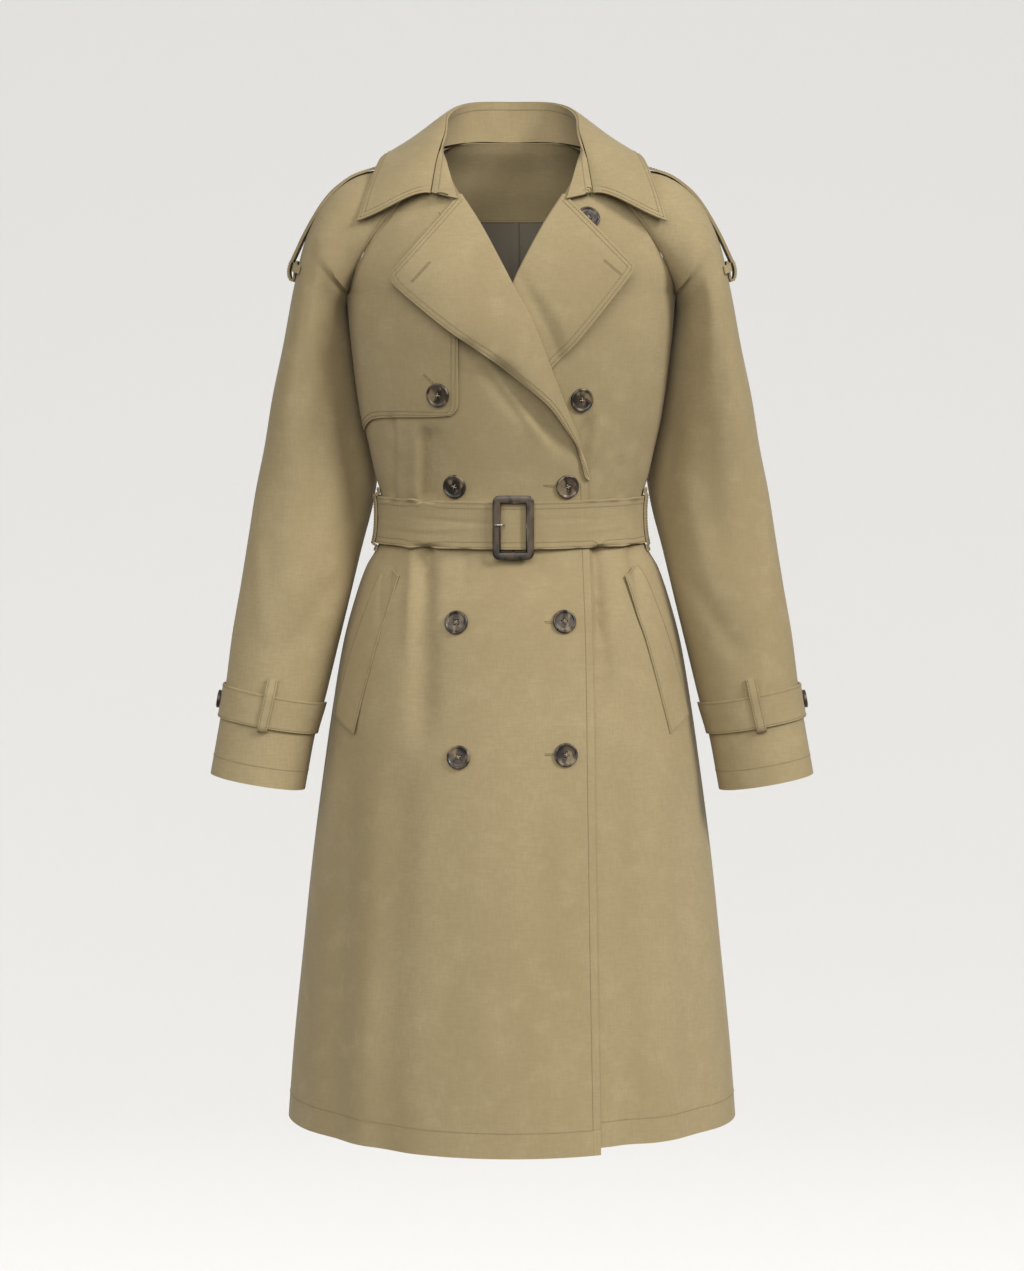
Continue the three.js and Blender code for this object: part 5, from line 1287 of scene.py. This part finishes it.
def sewn_button(name, radius, surface, spin):
    """Button and its crossed threads on a surface given by the distances across and up from its place."""
    across = surface(1, 0) - surface(-1, 0)
    up = surface(0, 1) - surface(0, -1)
    normal = np.cross(across, up)
    normal /= np.linalg.norm(normal)
    across /= np.linalg.norm(across)
    up = np.cross(normal, across)
    centre = surface(0, 0) + normal * BUTTON_LIFT
    c, s = math.cos(spin), math.sin(spin)
    across, up = across * c + up * s, up * c - across * s
    points = place_on(across, up, normal, centre, button_points(radius))
    piece = smooth_piece(f"horn_{name}", points, button_horn)
    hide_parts(name)
    corner = HOLE_AT / math.sqrt(2)
    arc = np.linspace(-1, 1, 13)
    for k, (sx, sy) in enumerate(((1, 1), (1, -1))):
        rise = THREAD_LIFT + k * THREAD_CROSSING + THREAD_BOW * (1 - arc ** 4) - THREAD_SINK * arc ** 8
        path = np.stack([arc * sx * corner, arc * sy * corner, rise], -1)
        strand = place_on(across, up, normal, centre, tube(path, SHANK_RADIUS, 8))
        smooth_piece(f"thread_{name}_{k + 1}", strand, button_thread)


def at_front(x, z, out, under=False):
    """Surface of a front round a place, lower where it lies underneath."""
    def surface(dx, dz):
        depth = underlap_depth(x + dx, z + dz) if under else 0
        return on_body(-1, np.float64(x + dx), np.float64(z + dz), out - depth)
    return surface


# name, x, z, turn of the button, height of its cloth off the front, whether that is the front underneath
FRONT_BUTTONS = (
    ("waist_right", -61, -338.5, 0.4, 0, False), ("waist_left", 59, -338.5, 1.1, 0, False),
    ("hip_right", -59, -482, 0.2, 0, False), ("hip_left", 55.5, -481, 0.8, 0, False),
    ("skirt_right", -56.5, -623.5, 1.3, 0, False), ("skirt_left", 57, -621, 0.5, 0, False),
    ("chest_left", 76, -246, 0.9, 0, True), ("collar_left", 81, -53, 0.3, 0, True),
    ("flap", -77.6, -240.7, 0.6, FLAP_OUT, False),
)
for name, x, z, spin, out, under in FRONT_BUTTONS:
    sewn_button(f"button_{name}", BUTTON_RADIUS, at_front(x, z, out, under), spin)
# place on the sleeve's grid and its steps for a millimetre, then place on the shoulder and its slopes
CUFF_BUTTON_V, CUFF_STEP_ROUND, CUFF_STEP_DOWN, CUFF_SPIN = 15.47, 0.004, 0.02, 0.7
SHOULDER_BUTTON_X, SHOULDER_BUTTON_Z = 136.5, 8.6
SHOULDER_SLOPE, STRAP_SLOPE, SHOULDER_SPIN = 0.25, 0.065, 0.2


def at_cuff(side):
    """Surface of a cuff strap round its button."""
    def surface(across, up):
        around = 0.5 + side * across * CUFF_STEP_ROUND
        return sleeve_point(around, CUFF_BUTTON_V - up * CUFF_STEP_DOWN, CUFF_OUT) * np.array([side, 1, 1])
    return surface


def at_shoulder(side):
    """Plane of an epaulette round its button."""
    def surface(across, up):
        height = SHOULDER_BUTTON_Z - side * across * SHOULDER_SLOPE + up * STRAP_SLOPE
        return np.array([side * SHOULDER_BUTTON_X + across, float(up), height])
    return surface


for word, side in (("left", 1), ("right", -1)):
    sewn_button(f"button_cuff_{word}", SMALL_BUTTON, at_cuff(side), CUFF_SPIN)
    sewn_button(f"button_epaulette_{word}", SHOULDER_BUTTON, at_shoulder(side), SHOULDER_SPIN)


# Buttonholes: slits worked round with close stitches in thread, on the lapels, the flap and the right
# front.
HOLE_STITCH_SPACING, HOLE_STITCH_FROM, HOLE_STITCH_TO = 0.75, 0.2, 1.35
HOLE_STITCH = {"pitch": 2, "length": 1.1, "radius": 0.24, "clear": 0.08}


def worked_hole(start, end, surface):
    """Two rows of short cross stitches beside a straight slit from start to end, given on the surface."""
    along = np.array([end[0] - start[0], end[1] - start[1]], float)
    reach = np.hypot(*along)
    along /= reach
    aside = np.array([-along[1], along[0]])
    count = int(reach / HOLE_STITCH_SPACING)
    lines = []
    for sign in (-1, 1):
        for k in range(count + 1):
            base = np.array(start) + along * (k * reach / count)
            ends = np.stack([base + aside * sign * off for off in (HOLE_STITCH_FROM, HOLE_STITCH_TO)])
            points = surface(ends[:, 0], ends[:, 1])
            across = surface(ends[:, 0] + 1, ends[:, 1]) - points
            up = surface(ends[:, 0], ends[:, 1] + 1) - points
            normal = np.cross(across, up)
            lines.append(((points, normal / np.linalg.norm(normal, axis=-1, keepdims=True)), (0, 0)))
    return lines


def lapel_surface(rows, lift):
    """Height of a lapel's leaf at a place: shares along the rows nearest to it."""
    at = np.linspace(0, len(rows) - 1, 60)
    rx, rz, ex, ez, stand = (through(np.arange(len(rows)), column, at) for column in rows.T)

    def surface(x, z):
        px, pz = np.asarray(x)[:, None], np.asarray(z)[:, None]
        along = (px - rx) * (ex - rx) + (pz - rz) * (ez - rz)
        u = np.clip(along / ((ex - rx) ** 2 + (ez - rz) ** 2), 0, 1)
        away = np.hypot(px - rx - (ex - rx) * u, pz - rz - (ez - rz) * u)
        best = away.argmin(axis=1)
        u, rise = u[np.arange(len(best)), best], stand[best]
        out = lift(x, z, LAPEL_BASE + rise * np.sin(u * math.pi / 2))
        return on_body(-1, np.asarray(x), np.asarray(z), out)
    return surface


def on_front(out):
    """Surface of the right front, moved out."""
    return lambda x, z: on_body(-1, np.asarray(x, float), np.asarray(z, float), out)


HOLES = (
    ((-100, -121), (-83, -100), lapel_surface(LAPEL_RIGHT, right_lift)),
    ((94, -98), (111, -113), lapel_surface(LAPEL_LEFT, left_lift)),
    ((-92.5, -219), (-82, -229), on_front(FLAP_OUT)), ((34, -337), (46, -338), on_front(0)),
    ((35, -481), (43, -481.5), on_front(0)), ((35, -620), (44, -620.5), on_front(0)),
)
sew("thread_buttonholes", [line for hole in HOLES for line in worked_hole(*hole)], **HOLE_STITCH)


# Hook and eye: dull brass wire, bent and sewn to the two ends of the collar stand, where they close the
# neck.
HOOK_PATH = [
    (-68, -76.6, -28), (-75, -75.4, -26), (-81, -73.4, -27), (-80, -73.4, -31), (-74, -75.4, -30.5),
]
EYE_PATH = [(80, -74.2, -20), (84, -72.2, -21), (84, -72.2, -25), (79, -74.6, -26)]
WIRE_RADIUS = 0.55
dull_wire = metal_finish("dull_brass_wire", (0.20, 0.165, 0.11), 0.4)
for name, path in (("collar_hook", HOOK_PATH), ("collar_eye", EYE_PATH)):
    piece = smooth_piece(f"wire_{name}", tube(bent(path, 49), WIRE_RADIUS), dull_wire)
    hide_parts(name)


# Studio: a pale floor that sweeps up behind the coat, with wide soft lamps at the right, in front and at
# the left.
FLOOR_Z, WALL_TOP, STUDIO_FRONT, STUDIO_HALF = -2.8, 4.0, -0.9, 3.6
SWEEP_START, SWEEP_RADIUS = 3.4, 0.8
PAPER, PAPER_SHADE, PAPER_ROUGH = (0.68, 0.68, 0.675), (0.66, 0.66, 0.655), 0.92
sweep = np.linspace(0, math.pi / 2, 25)
wall_y = SWEEP_START + SWEEP_RADIUS
sweep_y = np.concatenate([[STUDIO_FRONT], SWEEP_START + SWEEP_RADIUS * np.sin(sweep), [wall_y]])
sweep_z = np.concatenate([[FLOOR_Z], FLOOR_Z + SWEEP_RADIUS * (1 - np.cos(sweep)), [WALL_TOP]])
studio_x = np.array([[-STUDIO_HALF, STUDIO_HALF]])
studio_points = np.stack(np.broadcast_arrays(studio_x, sweep_y[:, None], sweep_z[:, None]), -1)
studio_mesh = bpy.data.meshes.new("studio_floor")
studio_number = np.arange(len(sweep_y) * 2).reshape(-1, 2)
studio_mesh.from_pydata(studio_points.reshape(-1, 3), [], cells(studio_number).tolist())
studio_mesh.polygons.foreach_set("use_smooth", np.ones(len(studio_mesh.polygons), bool))
paper = Finish("studio_paper")
grain = paper.noise(paper.place(), 60.0, 3.0)
studio_mesh.materials.append(paper.shade(
    Base_Color=paper.mix(grain * 0.4, PAPER, PAPER_SHADE),
    Roughness=PAPER_ROUGH + grain * 0.05,
))
studio = bpy.data.objects.new("studio_floor", studio_mesh)
bpy.context.collection.objects.link(studio)

AIR_COLOUR, AIR_STRENGTH, LAMP_COLOUR = (0.97, 0.98, 1.0), 0.16, (1, 0.985, 0.96)
world = bpy.data.worlds.new("studio_air")
bpy.context.scene.world = world
world.use_nodes = True
world.node_tree.nodes["Background"].inputs["Color"].default_value = (*AIR_COLOUR, 1)
world.node_tree.nodes["Background"].inputs["Strength"].default_value = AIR_STRENGTH
# turn from the front and height of the wide lamps, in degrees, their spread and their strength
LAMPS = (("lamp_right", 58, 34, 20, 2.25), ("lamp_front", -4, 30, 50, 1.7), ("lamp_left", -62, 30, 34, 0.6))
for name, turn, rise, spread, strength in LAMPS:
    lamp = bpy.data.lights.new(name, "SUN")
    lamp.energy, lamp.angle, lamp.color = strength, math.radians(spread), LAMP_COLOUR
    holder = bpy.data.objects.new(name, lamp)
    holder.rotation_euler = (math.radians(90 - rise), 0, math.radians(turn))
    bpy.context.collection.objects.link(holder)
bpy.context.scene.view_settings.view_transform = "Standard"

CAMERA_PLACE, CAMERA_LENS, CAMERA_FILM, CAMERA_DIP = (0, -3.7855, -0.1753), 97.85, 36, 5
camera = bpy.data.cameras.new("camera")
camera.lens, camera.sensor_width = CAMERA_LENS, CAMERA_FILM
viewer = bpy.data.objects.new("camera", camera)
viewer.location = CAMERA_PLACE
viewer.rotation_euler = (math.radians(90 - CAMERA_DIP), 0, 0)
bpy.context.collection.objects.link(viewer)
bpy.context.scene.camera = viewer
